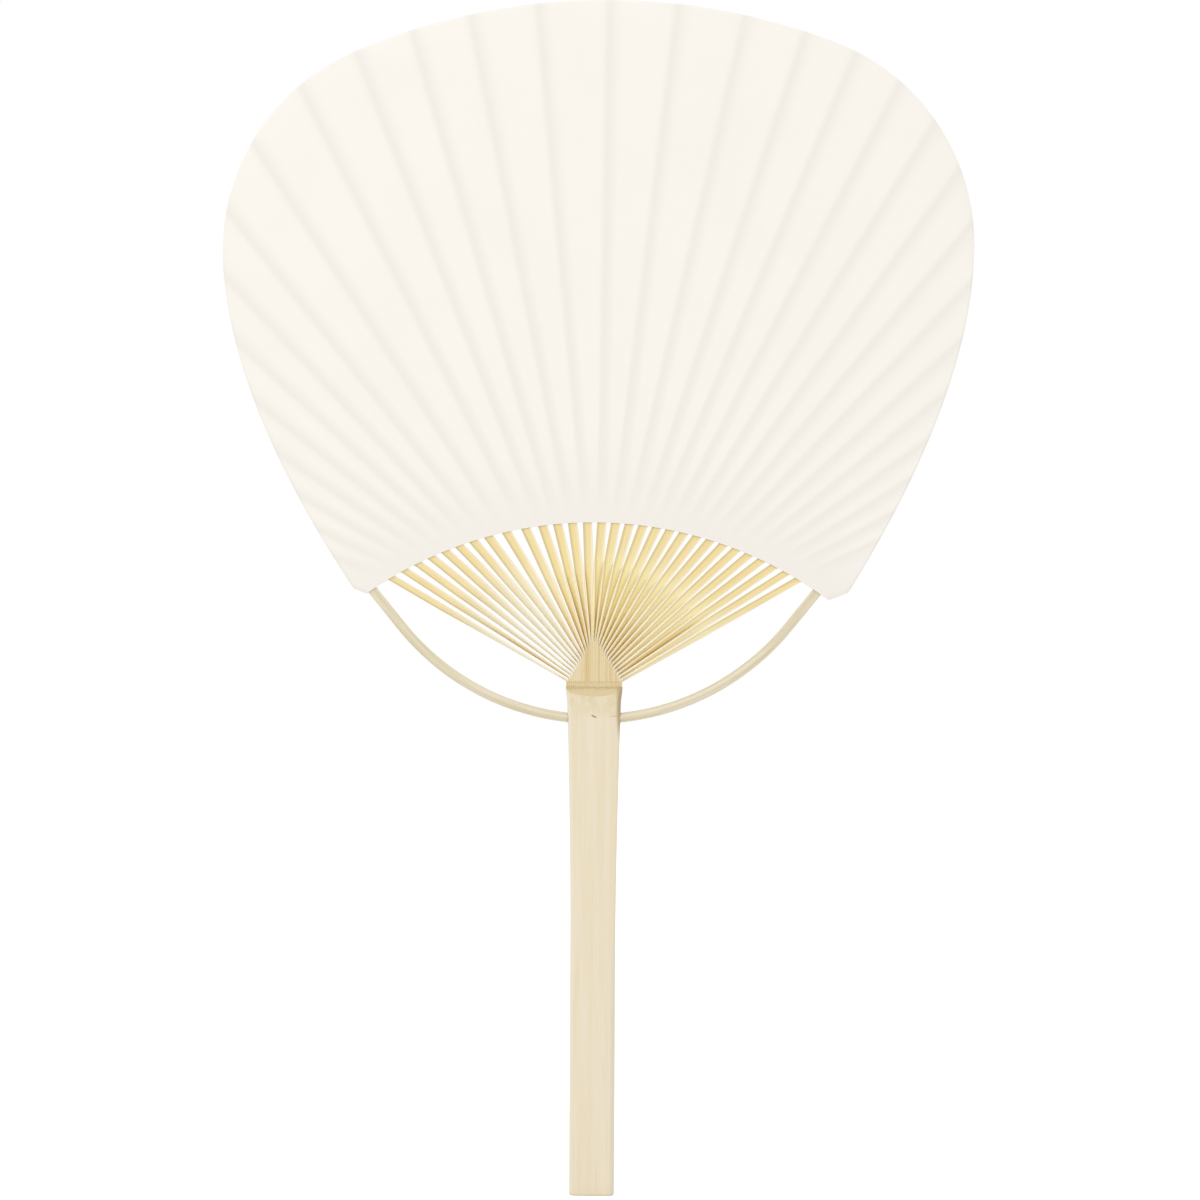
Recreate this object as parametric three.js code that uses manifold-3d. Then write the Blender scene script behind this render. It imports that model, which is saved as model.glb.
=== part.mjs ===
// Paddle fan: a bamboo handle split into ribs, a bent bow, a lacing thread and two pasted paper leaves.
// Millimetres, +Z up the handle, the front towards -Y.
// The origin is the middle of the handle's butt end.
import * as THREE from "three";
import { mergeVertices } from "three/addons/utils/BufferGeometryUtils.js";
import Module from "manifold-3d";

const wasm = await Module();
wasm.setup();

// Handle: one flat strip of bamboo, its skin side rounded, its pith side planed flat.
const HANDLE_LENGTH = 157.5;
const HANDLE_THICKNESS = 5.6;
const GRIP_WIDTH = 14.0;
const NECK_WIDTH = 16.6;
const NODE_WIDTH = 17.6;
const NODE_LENGTH = 5.5;
const GRIP_STRAIGHT_LENGTH = 82.0;
const NECK_FLARE_POWER = 1.5;
const EDGE_ROUND = 1.3;
const FRONT_BULGE = 0.7;
const BUTT_CHAMFER = 0.7;
const NODE_BEVEL_DEG = 24.0;
const CUT_MARGIN = 1.0;

// Ribs: the strip above the node, split into slats that fan out and twist from edge-on to flat.
const LEFT_RIB_COUNT = 14;
const RIGHT_RIB_COUNT = 16;
const CROWN_INSET = 0.1;
const SPLIT_GAP = 0.1;
const SEAT_GAP = 0.05;
const RIB_WIDTH_MIDDLE = 2.9;
const RIB_WIDTH_OUTER = 2.1;
const CROWN_FOOT = 0.9;
const CROWN_HEIGHT = 13.4;
const RIB_BEND_MIDDLE = 1.2;
const RIB_BEND_OUTER = 0.6;
const RIB_HALF_SPAN = 66.2;
const LEFT_LOOSE_GAP = 3.4;
const TIP_SPREAD = 1.8;
const TIP_SPREAD_RUN = 9.0;
const TIP_SHIFT = 0.7;
const RIB_SETBACK = 0.8;
const LEFT_TWIST_SHARE = 0.8;

// Leaf outline, with heights taken above the seat of the ribs. It is drawn upright, then turned to the
// left about the seat and moved to the right, as it was cut.
const LEAF_TOP = 213.0;
const LEAF_WIDTH = 233.0;
const LEAF_WIDEST_HEIGHT = 136.4;
const LEAF_TOP_RADIUS = 198.4;
const LOWER_EDGE_RADIUS = 122.8;
const LOWER_EDGE_RISE = 51.0;
const CORNER_OUT = 13.4;
const CORNER_RUN_ON = 8.0;
const CORNER_CUT_LEFT = 2.4;
const CORNER_CUT_RIGHT = 4.0;
const SIDE_UPPER_PULL = 34.0;
const SIDE_LOWER_PULL = 43.4;
const SIDE_END_DEG = 33.5;
const LEAF_TURN_DEG = 1.5;
const LEAF_SHIFT = 4.2;

// Paper, with the flat hem along the lower edge and the ridges that it makes over the ribs.
const PAPER_THICKNESS = 0.16;
const GLUE_GAP = 0.06;
const HEM = 9.0;
const HEM_FADE = 13.0;
const RIDGE_SHOULDER = 0.15;
const RIDGE_FLANK = 1.1;
const VALLEY_GAP = 0.08;

// Bow and lacing.
const BOW_DIAMETER = 3.0;
const BOW_DROP = 9.9;
const BOW_CLEARANCE = 0.12;
const BOW_ENTRY_OUT = 7.0;
const BOW_END_DEG = 51.0;
const BOW_TUCK = 5.0;
const BOW_PARING = 14.0;
const BOW_THIN_LEAD = 1.5;
const BOW_TIP_LENGTH = 1.6;
const BOW_TIP_SHARE = 0.6;
const LACING_THICKNESS = 0.15;
const LACING_WIDTH = 0.6;
const LACING_RISE = 3.5;

const RIB_COUNT = LEFT_RIB_COUNT + RIGHT_RIB_COUNT;
const CROWN_WIDTH = NODE_WIDTH - 2 * CROWN_INSET;
const RIB_PITCH = CROWN_WIDTH / RIB_COUNT;
const RIB_THICKNESS = RIB_PITCH - SPLIT_GAP;
const RIDGE_Y = RIB_THICKNESS / 2 + GLUE_GAP + LACING_THICKNESS + GLUE_GAP;
const LACING_Y = RIB_THICKNESS / 2 + GLUE_GAP + LACING_THICKNESS / 2;
const LOWER_EDGE_CENTRE = LOWER_EDGE_RISE - LOWER_EDGE_RADIUS;
const BOW_HEIGHT = HANDLE_LENGTH - BOW_DROP;

const { lerp, clamp, smoothstep, degToRad } = THREE.MathUtils;

/** A vector in the fan's plane: x to the right, height above the seat of the ribs. */
const flat = (x, height) => new THREE.Vector2(x, height);

/** The fan's space from a point of its plane and a depth, positive towards the back. */
const inSpace = (point, depth) => new THREE.Vector3(point.x, depth, HANDLE_LENGTH + point.y);

/** A closed body through rings of equally many points, with convex flat ends. */
function loft(rings) {
  const count = rings[0].length;
  const positions = rings.flat().flatMap((point) => point.toArray());
  const indices = [];
  for (let row = 0; row + 1 < rings.length; row += 1) {
    for (let i = 0; i < count; i += 1) {
      const next = (i + 1) % count;
      const [a, b] = [row * count + i, row * count + next];
      indices.push(a, b, b + count, a, b + count, a + count);
    }
  }
  const top = (rings.length - 1) * count;
  for (let i = 1; i + 1 < count; i += 1) {
    indices.push(0, i + 1, i);
    indices.push(top, top + i, top + i + 1);
  }
  const geometry = new THREE.BufferGeometry();
  geometry.setAttribute("position", new THREE.Float32BufferAttribute(positions, 3));
  geometry.setIndex(indices);
  return geometry;
}

/** A manifold body from a geometry, for joins and cuts. */
function toSolid(source) {
  const bare = source.clone();
  bare.deleteAttribute("normal");
  bare.deleteAttribute("uv");
  const merged = mergeVertices(bare, 1e-4);
  const mesh = new wasm.Mesh({
    numProp: 3,
    vertProperties: new Float32Array(merged.attributes.position.array),
    triVerts: new Uint32Array(merged.index.array),
  });
  return new wasm.Manifold(mesh);
}

/** A geometry from a manifold body. */
function toGeometry(solid) {
  const mesh = solid.getMesh();
  const geometry = new THREE.BufferGeometry();
  geometry.setAttribute("position", new THREE.Float32BufferAttribute(mesh.vertProperties, mesh.numProp));
  geometry.setIndex(Array.from(mesh.triVerts));
  return geometry;
}

/** The handle's half-width at a height: straight grip, widening neck, then the swelling of the node. */
function handleHalfWidth(height) {
  const nodeStart = HANDLE_LENGTH - NODE_LENGTH;
  const along = clamp((height - GRIP_STRAIGHT_LENGTH) / (nodeStart - GRIP_STRAIGHT_LENGTH), 0, 1);
  const neck = lerp(GRIP_WIDTH, NECK_WIDTH, along ** NECK_FLARE_POWER);
  const swell = (NODE_WIDTH - NECK_WIDTH) * smoothstep(height, nodeStart, HANDLE_LENGTH);
  return (neck + swell) / 2;
}

/** One ring of the handle: flat back, bulging front and four rounded edges. */
function handleRing(height, inset) {
  const half = handleHalfWidth(height) - inset;
  const back = HANDLE_THICKNESS / 2 - inset;
  const front = -back;
  const frontEdge = front + FRONT_BULGE;
  const bulge = (x) => frontEdge - FRONT_BULGE * (1 - (x / half) ** 2);
  const inner = half - EDGE_ROUND;
  const outline = new THREE.Path();
  outline.moveTo(-inner, bulge(-inner));
  const frontSteps = 8;
  for (let i = 1; i <= frontSteps; i += 1) {
    const x = lerp(-inner, inner, i / frontSteps);
    outline.lineTo(x, bulge(x));
  }
  outline.quadraticCurveTo(half, frontEdge, half, frontEdge + EDGE_ROUND);
  outline.lineTo(half, back - EDGE_ROUND);
  outline.quadraticCurveTo(half, back, inner, back);
  outline.lineTo(-inner, back);
  outline.quadraticCurveTo(-half, back, -half, back - EDGE_ROUND);
  outline.lineTo(-half, frontEdge + EDGE_ROUND);
  outline.quadraticCurveTo(-half, frontEdge, -inner, bulge(-inner));
  const cornerSteps = 4;
  const points = outline.getPoints(cornerSteps).slice(0, -1);
  return points.map((point) => new THREE.Vector3(point.x, point.y, height));
}

/** The handle's side view, tall and deep, with a bevel on both faces down to the crown's thickness. */
function nodeBevelTool(seatHalf) {
  const deep = HANDLE_THICKNESS;
  const drop = (deep - seatHalf) / Math.tan(degToRad(NODE_BEVEL_DEG));
  const side = new THREE.Shape([
    flat(-deep, -CUT_MARGIN),
    flat(deep, -CUT_MARGIN),
    flat(deep, HANDLE_LENGTH - drop),
    flat(seatHalf, HANDLE_LENGTH),
    flat(-seatHalf, HANDLE_LENGTH),
    flat(-deep, HANDLE_LENGTH - drop),
  ]);
  const tool = new THREE.ExtrudeGeometry(side, { depth: 2 * NODE_WIDTH, bevelEnabled: false });
  tool.translate(0, 0, -NODE_WIDTH);
  tool.rotateX(Math.PI / 2);
  tool.rotateZ(Math.PI / 2);
  return tool;
}

/** The handle, with the bevelled node at its top and the straight hole that the bow passes through. */
function makeHandle(bow) {
  const heights = [BUTT_CHAMFER];
  const neckSteps = 8;
  const nodeSteps = 4;
  const nodeStart = HANDLE_LENGTH - NODE_LENGTH;
  for (let i = 0; i <= neckSteps; i += 1) {
    heights.push(lerp(GRIP_STRAIGHT_LENGTH, nodeStart, i / neckSteps));
  }
  for (let i = 1; i <= nodeSteps; i += 1) {
    heights.push(lerp(nodeStart, HANDLE_LENGTH + CUT_MARGIN, i / nodeSteps));
  }
  const rings = [handleRing(0, BUTT_CHAMFER), ...heights.map((height) => handleRing(height, 0))];
  const blank = toSolid(loft(rings));
  const beveled = blank.intersect(toSolid(nodeBevelTool(RIB_WIDTH_MIDDLE / 2 + SEAT_GAP)));
  const edge = bowStation(bow, handleHalfWidth(BOW_HEIGHT));
  const sag = edge.point.y - bow.base;
  const holeRadius = (BOW_DIAMETER + sag) / 2 + BOW_CLEARANCE;
  const drill = new THREE.CylinderGeometry(holeRadius, holeRadius, 2 * NODE_WIDTH, 28);
  drill.rotateZ(Math.PI / 2);
  drill.translate(0, 0, BOW_HEIGHT + sag / 2);
  return toGeometry(beveled.subtract(toSolid(drill)));
}

/** A point of the leaf's lower edge, by its distance along the edge from the middle. */
function lowerEdge(along, rise = 0) {
  const angle = along / LOWER_EDGE_RADIUS;
  const radius = LOWER_EDGE_RADIUS + rise;
  return flat(radius * Math.sin(angle), LOWER_EDGE_CENTRE + radius * Math.cos(angle));
}

/** The leaf's outer edge over the top, from below the left corner to below the right corner. */
function outerEdge() {
  const half = LEAF_WIDTH / 2;
  const topCentre = LEAF_TOP - LEAF_TOP_RADIUS;
  const rise = LEAF_WIDEST_HEIGHT - topCentre;
  const shoulderRadius = (LEAF_TOP_RADIUS ** 2 - half ** 2 - rise ** 2) / (2 * (LEAF_TOP_RADIUS - half));
  const shoulderX = half - shoulderRadius;
  const join = Math.atan2(rise, shoulderX);
  const corner = lowerEdge(RIB_HALF_SPAN + CORNER_OUT);
  const lean = degToRad(SIDE_END_DEG);
  const lowX = corner.x + SIDE_LOWER_PULL * Math.sin(lean);
  const lowZ = corner.y + SIDE_LOWER_PULL * Math.cos(lean);
  const highZ = LEAF_WIDEST_HEIGHT - SIDE_UPPER_PULL;
  const runX = corner.x - CORNER_RUN_ON * Math.sin(lean);
  const runZ = corner.y - CORNER_RUN_ON * Math.cos(lean);
  const edge = new THREE.Path();
  edge.moveTo(-runX, runZ);
  edge.lineTo(-corner.x, corner.y);
  edge.bezierCurveTo(-lowX, lowZ, -half, highZ, -half, LEAF_WIDEST_HEIGHT);
  edge.absarc(-shoulderX, LEAF_WIDEST_HEIGHT, shoulderRadius, Math.PI, Math.PI - join, true);
  edge.absarc(0, topCentre, LEAF_TOP_RADIUS, Math.PI - join, join, true);
  edge.absarc(shoulderX, LEAF_WIDEST_HEIGHT, shoulderRadius, join, 0, true);
  edge.bezierCurveTo(half, highZ, lowX, lowZ, corner.x, corner.y);
  edge.lineTo(runX, runZ);
  const fineness = 900;
  const seat = flat(0, 0);
  const shift = flat(LEAF_SHIFT, 0);
  const turn = degToRad(LEAF_TURN_DEG);
  return edge.getSpacedPoints(fineness).map((point) => point.rotateAround(seat, turn).add(shift));
}

/** The angle of a point seen from the seat of the ribs, from upright, positive to the right. */
const bearing = (point) => Math.atan2(point.x, point.y);

const OUTER_EDGE = outerEdge();

/** The distance from the seat to the outer edge along a bearing. */
function outerReach(angle) {
  const last = OUTER_EDGE.length - 2;
  let low = 0;
  let high = last;
  while (low < high) {
    const middle = Math.ceil((low + high) / 2);
    if (bearing(OUTER_EDGE[middle]) <= angle) low = middle;
    else high = middle - 1;
  }
  const [a, b] = [OUTER_EDGE[low], OUTER_EDGE[low + 1]];
  const across = flat(Math.cos(angle), -Math.sin(angle));
  const share = a.dot(across) / (a.dot(across) - b.dot(across));
  return a.clone().lerp(b, clamp(share, 0, 1)).length();
}

/** The distance from the seat to the lower edge along a bearing. */
function innerReach(angle) {
  const along = LOWER_EDGE_CENTRE * Math.cos(angle);
  const across = LOWER_EDGE_CENTRE * Math.sin(angle);
  return along + Math.sqrt(LOWER_EDGE_RADIUS ** 2 - across ** 2);
}

/** A point at a bearing and a distance from the seat. */
const polar = (angle, distance) => flat(distance * Math.sin(angle), distance * Math.cos(angle));

/** The distance along the lower edge at which a rib passes under it, counted outwards from the middle. */
function ribAlong(isLeft, number) {
  const count = isLeft ? LEFT_RIB_COUNT : RIGHT_RIB_COUNT;
  if (!isLeft) return ((number - 0.5) / (count - 0.5)) * RIB_HALF_SPAN;
  const pitch = (RIB_HALF_SPAN - LEFT_LOOSE_GAP) / (count - 0.5);
  const [looseFrom, looseTo] = [0.23, 0.5];
  const loosened = smoothstep((number - 1) / (count - 1), looseFrom, looseTo);
  return (number - 0.5) * pitch + LEFT_LOOSE_GAP * loosened;
}

/** The path and the sizes of every rib, from left to right. */
function planRibs() {
  const plans = [];
  for (let order = 0; order < RIB_COUNT; order += 1) {
    const isLeft = order < LEFT_RIB_COUNT;
    const side = isLeft ? -1 : 1;
    const number = isLeft ? LEFT_RIB_COUNT - order : order - LEFT_RIB_COUNT + 1;
    const count = isLeft ? LEFT_RIB_COUNT : RIGHT_RIB_COUNT;
    const along = side * ribAlong(isLeft, number);
    const rootX = (order - (RIB_COUNT - 1) / 2) * RIB_PITCH;
    const crownShare = 1 - Math.abs(rootX) / (CROWN_WIDTH / 2);
    const bend = lerp(RIB_BEND_OUTER, RIB_BEND_MIDDLE, crownShare);
    const edgePoint = lowerEdge(along);
    const spread = TIP_SPREAD * clamp((along - LEAF_SHIFT) / TIP_SPREAD_RUN, -1, 1);
    const tipAngle = bearing(lowerEdge(along + spread - TIP_SHIFT));
    const tip = polar(tipAngle, outerReach(tipAngle));
    const heading = bearing(tip.clone().sub(edgePoint));
    const pitch = (RIB_HALF_SPAN - (isLeft ? LEFT_LOOSE_GAP : 0)) / (count - 0.5);
    plans.push({
      name: `rib_${isLeft ? "left" : "right"}_${String(number).padStart(2, "0")}`,
      knee: flat(rootX, SEAT_GAP + CROWN_FOOT + bend + CROWN_HEIGHT * crownShare),
      bend,
      edgePoint,
      heading,
      offset: edgePoint.dot(flat(Math.cos(heading), -Math.sin(heading))),
      width: lerp(RIB_WIDTH_MIDDLE, RIB_WIDTH_OUTER, (number / count) ** 2),
      spacing: pitch * Math.cos(heading - along / LOWER_EDGE_RADIUS),
      turn: side,
      twistShare: isLeft ? LEFT_TWIST_SHARE : 1,
    });
  }
  return plans;
}

/** The bearing of a line beside a rib in the leaf, at a distance from the seat. */
function besideRib(plan, aside, distance) {
  return plan.heading + Math.asin((plan.offset + aside) / distance);
}

/** The bearing at which a line of changing bearing meets an edge of the leaf. */
function meeting(bearingAt, reachAt) {
  const rounds = 4;
  let angle = bearingAt(LOWER_EDGE_RADIUS);
  for (let i = 0; i < rounds; i += 1) angle = bearingAt(reachAt(angle));
  return angle;
}

/** One ring of a slat: its width is turned from the depth direction into the fan's plane by the twist. */
function slatRing(point, direction, width, twist) {
  const across = new THREE.Vector3(direction.y, 0, -direction.x);
  const depth = new THREE.Vector3(0, 1, 0);
  const wide = depth.clone().multiplyScalar(Math.cos(twist)).addScaledVector(across, Math.sin(twist));
  const thin = depth.clone().multiplyScalar(-Math.sin(twist)).addScaledVector(across, Math.cos(twist));
  const centre = inSpace(point, 0);
  const corner = (u, v) =>
    centre.clone().addScaledVector(wide, (u * width) / 2).addScaledVector(thin, (v * RIB_THICKNESS) / 2);
  return [corner(-1, -1), corner(-1, 1), corner(1, 1), corner(1, -1)];
}

/** The last ring of a rib, flat in the leaf, each corner trimmed back from the leaf's outer edge. */
function trimmedRing(plan) {
  const trimmedReach = (angle) => outerReach(angle) - RIB_SETBACK;
  const corner = (u, v) => {
    const aside = (plan.turn * u * plan.width) / 2;
    const angle = meeting((distance) => besideRib(plan, aside, distance), trimmedReach);
    return inSpace(polar(angle, trimmedReach(angle)), (-plan.turn * v * RIB_THICKNESS) / 2);
  };
  return [corner(-1, -1), corner(-1, 1), corner(1, 1), corner(1, -1)];
}

/** A rib's twist, as far as its neighbours leave room, at a share of its way from its knee to the leaf. */
function ribTwist(plan, share) {
  const out = plan.edgePoint.clone().sub(plan.knee).normalize();
  const kneeStep = (CROWN_HEIGHT * RIB_PITCH) / (CROWN_WIDTH / 2);
  const kneeSpacing = RIB_PITCH * out.y + kneeStep * Math.abs(out.x);
  const room = lerp(kneeSpacing, plan.spacing, share) - RIB_PITCH;
  const used = lerp(plan.twistShare, 1, share ** 3);
  const diagonal = Math.hypot(plan.width, RIB_THICKNESS);
  const lean = Math.atan2(RIB_THICKNESS, plan.width) * (1 - share ** 3);
  return plan.turn * (Math.asin(clamp((RIB_THICKNESS + used * room) / diagonal, 0, 1)) - lean);
}

/** A rib: upright in the crown, bent at its knee, twisting from edge-on to flat as room opens up. */
function makeRib(plan) {
  const up = flat(0, 1);
  const out = plan.edgePoint.clone().sub(plan.knee).normalize();
  const onward = polar(plan.heading, 1);
  const bendStart = plan.knee.clone().addScaledVector(up, -plan.bend);
  const bendEnd = plan.knee.clone().addScaledVector(out, plan.bend);
  const rings = [];
  const root = flat(plan.knee.x, SEAT_GAP);
  if (bendStart.y > SEAT_GAP + SPLIT_GAP) rings.push(slatRing(root, up, plan.width, 0));
  const bend = new THREE.QuadraticBezierCurve(bendStart, plan.knee, bendEnd);
  const bendSteps = 3;
  for (let i = 0; i <= bendSteps; i += 1) {
    const share = i / bendSteps;
    const twist = share * ribTwist(plan, 0);
    rings.push(slatRing(bend.getPoint(share), bend.getTangent(share), plan.width, twist));
  }
  const freeSteps = 6;
  for (let i = 1; i <= freeSteps; i += 1) {
    const share = i / freeSteps;
    const twist = ribTwist(plan, share);
    const direction = share < 1 ? out : out.clone().add(onward).normalize();
    rings.push(slatRing(bendEnd.clone().lerp(plan.edgePoint, share), direction, plan.width, twist));
  }
  rings.push(trimmedRing(plan));
  return loft(rings);
}

/** The bow's line: an arc whose lowest point lies in the handle, then straight ends into the leaf. */
function planBow() {
  const entry = lowerEdge(RIB_HALF_SPAN + BOW_ENTRY_OUT);
  const base = -BOW_DROP;
  const endAngle = degToRad(BOW_END_DEG);
  const heading = flat(Math.cos(endAngle), Math.sin(endAngle));
  const radius = (entry.x * heading.y - (entry.y - base) * heading.x) / (1 - heading.x);
  const straight = (entry.x - radius * heading.y) / heading.x;
  return { radius, base, endAngle, heading, entry, toEntry: radius * endAngle + straight };
}

/** A point of the bow and its direction there, by the distance from the middle, positive to the right. */
function bowStation(bow, distance) {
  const side = Math.sign(distance);
  const turned = Math.min(Math.abs(distance) / bow.radius, bow.endAngle);
  const beyond = Math.abs(distance) - turned * bow.radius;
  const x = bow.radius * Math.sin(turned) + beyond * Math.cos(turned);
  const rise = bow.radius * (1 - Math.cos(turned)) + beyond * Math.sin(turned);
  return {
    point: flat(side * x, bow.base + rise),
    direction: flat(Math.cos(turned), side * Math.sin(turned)),
  };
}

/** The bow: a round rod, pared thin towards both ends, which lie straight between the papers. */
function makeBow(bow) {
  const steps = 40;
  const distances = [];
  for (let i = 0; i <= steps; i += 1) distances.push(lerp(-bow.toEntry, bow.toEntry, i / steps));
  const tipStart = bow.toEntry + BOW_TUCK - BOW_TIP_LENGTH;
  const tipEnd = bow.toEntry + BOW_TUCK;
  distances.push(tipStart, tipEnd);
  distances.unshift(-tipEnd, -tipStart);
  const sides = 12;
  const rings = distances.map((distance) => {
    const { point, direction } = bowStation(bow, distance);
    const outside = bow.toEntry - Math.abs(distance) - BOW_THIN_LEAD;
    const depth = lerp(RIB_THICKNESS, BOW_DIAMETER, smoothstep(outside, 0, BOW_PARING)) / 2;
    const half = (BOW_DIAMETER / 2) * (Math.abs(distance) < tipEnd ? 1 : BOW_TIP_SHARE);
    const ring = [];
    for (let i = 0; i < sides; i += 1) {
      const turn = (2 * Math.PI * i) / sides;
      const across = flat(-direction.y, direction.x).multiplyScalar(half * Math.sin(turn));
      ring.push(inSpace(point.clone().add(across), depth * Math.cos(turn)));
    }
    return ring;
  });
  return loft(rings);
}

/** The lacing: a flattened thread woven before and behind the ribs, caught round the ends of the bow. */
function makeLacing(plans, bow) {
  const radius = LOWER_EDGE_RADIUS + LACING_RISE;
  const fromCentre = (point) => bearing(point.sub(flat(0, LOWER_EDGE_CENTRE)));
  const crossings = plans.map((plan) => {
    const lacedReach = (angle) => innerReach(angle) + LACING_RISE;
    const angle = meeting((distance) => besideRib(plan, 0, distance), lacedReach);
    const centre = fromCentre(polar(angle, lacedReach(angle)));
    return { centre, half: plan.width / 2 / Math.cos(plan.heading - centre) / radius };
  });
  const caught = bow.entry.clone().addScaledVector(bow.heading, LACING_RISE);
  const end = { centre: fromCentre(caught), half: BOW_DIAMETER / 2 / radius };
  crossings.unshift({ centre: -end.centre, half: end.half });
  crossings.push(end);
  const stations = [];
  crossings.forEach((crossing, order) => {
    const depth = LACING_Y * (order % 2 === 0 ? 1 : -1);
    const before = crossings[order - 1];
    const after = crossings[order + 1];
    const slackShare = 0.28;
    const slack = (other) =>
      other ? slackShare * (Math.abs(other.centre - crossing.centre) - other.half - crossing.half) : 0;
    stations.push({ angle: crossing.centre - crossing.half - slack(before), depth });
    stations.push({ angle: crossing.centre + crossing.half + slack(after), depth });
  });
  const points = stations.map(({ angle, depth }) => {
    return inSpace(lowerEdge(angle * LOWER_EDGE_RADIUS, LACING_RISE), depth);
  });
  const rings = points.map((point, i) => {
    const ahead = points[Math.min(i + 1, points.length - 1)];
    const behind = points[Math.max(i - 1, 0)];
    const direction = ahead.clone().sub(behind).normalize();
    const outward = new THREE.Vector3(Math.sin(stations[i].angle), 0, Math.cos(stations[i].angle));
    const thin = new THREE.Vector3().crossVectors(outward, direction).normalize();
    const corner = (u, v) =>
      point
        .clone()
        .addScaledVector(outward, (u * LACING_WIDTH) / 2)
        .addScaledVector(thin, (v * LACING_THICKNESS) / 2);
    return [corner(-1, -1), corner(-1, 1), corner(1, 1), corner(1, -1)];
  });
  return loft(rings);
}

/** The bearing of a blunt corner of the leaf: cut back from where the outer edge meets the lower edge. */
function cornerBearing(side) {
  let [inside, outside] = [RIB_HALF_SPAN, RIB_HALF_SPAN + CORNER_OUT + CORNER_RUN_ON];
  const rounds = 30;
  for (let i = 0; i < rounds; i += 1) {
    const along = (inside + outside) / 2;
    const point = lowerEdge(side * along);
    if (outerReach(bearing(point)) > point.length()) inside = along;
    else outside = along;
  }
  const cutBack = side < 0 ? CORNER_CUT_LEFT : CORNER_CUT_RIGHT;
  return bearing(lowerEdge(side * (inside - cutBack)));
}

/** The leaf's columns from corner to corner: four along each rib, one between ribs, a few at the ends. */
function planColumns(plans) {
  const columns = [];
  const middleOf = (plan) => (distance) => besideRib(plan, 0, distance);
  const between = (from, to, share) => {
    columns.push({ bearingAt: (distance) => lerp(from(distance), to(distance), share), isRidge: false });
  };
  const [leftEnd, rightEnd] = [cornerBearing(-1), cornerBearing(1)];
  const endSteps = 4;
  const [first, last] = [plans[0], plans[plans.length - 1]];
  for (let i = 0; i < endSteps; i += 1) between(() => leftEnd, middleOf(first), i / (endSteps + 1));
  plans.forEach((plan, order) => {
    const [before, after] = [plans[order - 1], plans[order + 1]];
    const half = plan.width / 2 + RIDGE_SHOULDER;
    const footShare = 0.42;
    const foot = (other, distance) => {
      if (!other) return half + RIDGE_FLANK;
      const room = Math.abs(middleOf(other)(distance) - middleOf(plan)(distance)) * distance;
      return Math.min(half + RIDGE_FLANK, Math.max(footShare * room, half + RIDGE_SHOULDER / 2));
    };
    const beside = (asideAt, isRidge) => {
      columns.push({ bearingAt: (distance) => besideRib(plan, asideAt(distance), distance), isRidge });
    };
    if (before) between(middleOf(before), middleOf(plan), 0.5);
    beside((distance) => -foot(before, distance), false);
    beside(() => -half, true);
    beside(() => half, true);
    beside((distance) => foot(after, distance), false);
  });
  for (let i = 1; i <= endSteps; i += 1) between(middleOf(last), () => rightEnd, (i + 1) / (endSteps + 1));
  return columns;
}

/** One paper leaf: a thin ruled sheet, flat along its hem, ridged over the ribs further up. */
function makeLeaf(plans, face) {
  const levels = [
    { from: 0, share: 0 },
    { from: HEM, share: 0.5 },
    { from: HEM + HEM_FADE, share: 0.8 },
    { from: Infinity, share: 1 },
  ];
  const columns = planColumns(plans);
  const inner = [];
  const outer = [];
  for (const { bearingAt, isRidge } of columns) {
    levels.forEach((level, row) => {
      const reach = (angle) => {
        const start = innerReach(angle);
        return start + Math.min(level.from, (outerReach(angle) - start) * level.share);
      };
      const angle = meeting(bearingAt, reach);
      const point = polar(angle, reach(angle));
      const dipped = !isRidge && row > 1;
      const depth = dipped ? VALLEY_GAP : RIDGE_Y;
      inner.push(inSpace(point, face * depth));
      outer.push(inSpace(point, face * (depth + PAPER_THICKNESS)));
    });
  }
  const rows = levels.length;
  const positions = [...inner, ...outer].flatMap((point) => point.toArray());
  const indices = [];
  const skin = inner.length;
  const quad = (a, b, c, d) => {
    if (face > 0) indices.push(a, b, c, a, c, d);
    else indices.push(a, c, b, a, d, c);
  };
  for (let column = 0; column + 1 < columns.length; column += 1) {
    for (let row = 0; row + 1 < rows; row += 1) {
      const a = column * rows + row;
      const b = a + rows;
      quad(a, b, b + 1, a + 1);
      quad(skin + a, skin + a + 1, skin + b + 1, skin + b);
    }
    const low = column * rows;
    const high = low + rows - 1;
    quad(low, skin + low, skin + low + rows, low + rows);
    quad(high, high + rows, skin + high + rows, skin + high);
  }
  const end = (columns.length - 1) * rows;
  for (let row = 0; row + 1 < rows; row += 1) {
    quad(row, row + 1, skin + row + 1, skin + row);
    quad(end + row, skin + end + row, skin + end + row + 1, end + row + 1);
  }
  const geometry = new THREE.BufferGeometry();
  geometry.setAttribute("position", new THREE.Float32BufferAttribute(positions, 3));
  geometry.setIndex(indices);
  return geometry;
}

/** A named mesh with its own finish. */
function piece(name, geometry, color, roughness) {
  geometry.computeVertexNormals();
  const material = new THREE.MeshStandardMaterial({ color, roughness, metalness: 0 });
  const mesh = new THREE.Mesh(geometry, material);
  mesh.name = name;
  return mesh;
}

const PLANED_BAMBOO = "#ece0c4";
const SPLIT_BAMBOO = "#ead79f";
const BOW_BAMBOO = "#e2d9be";
const PASTED_PAPER = "#f9f5ec";
const COTTON = "#efe8d8";

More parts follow.
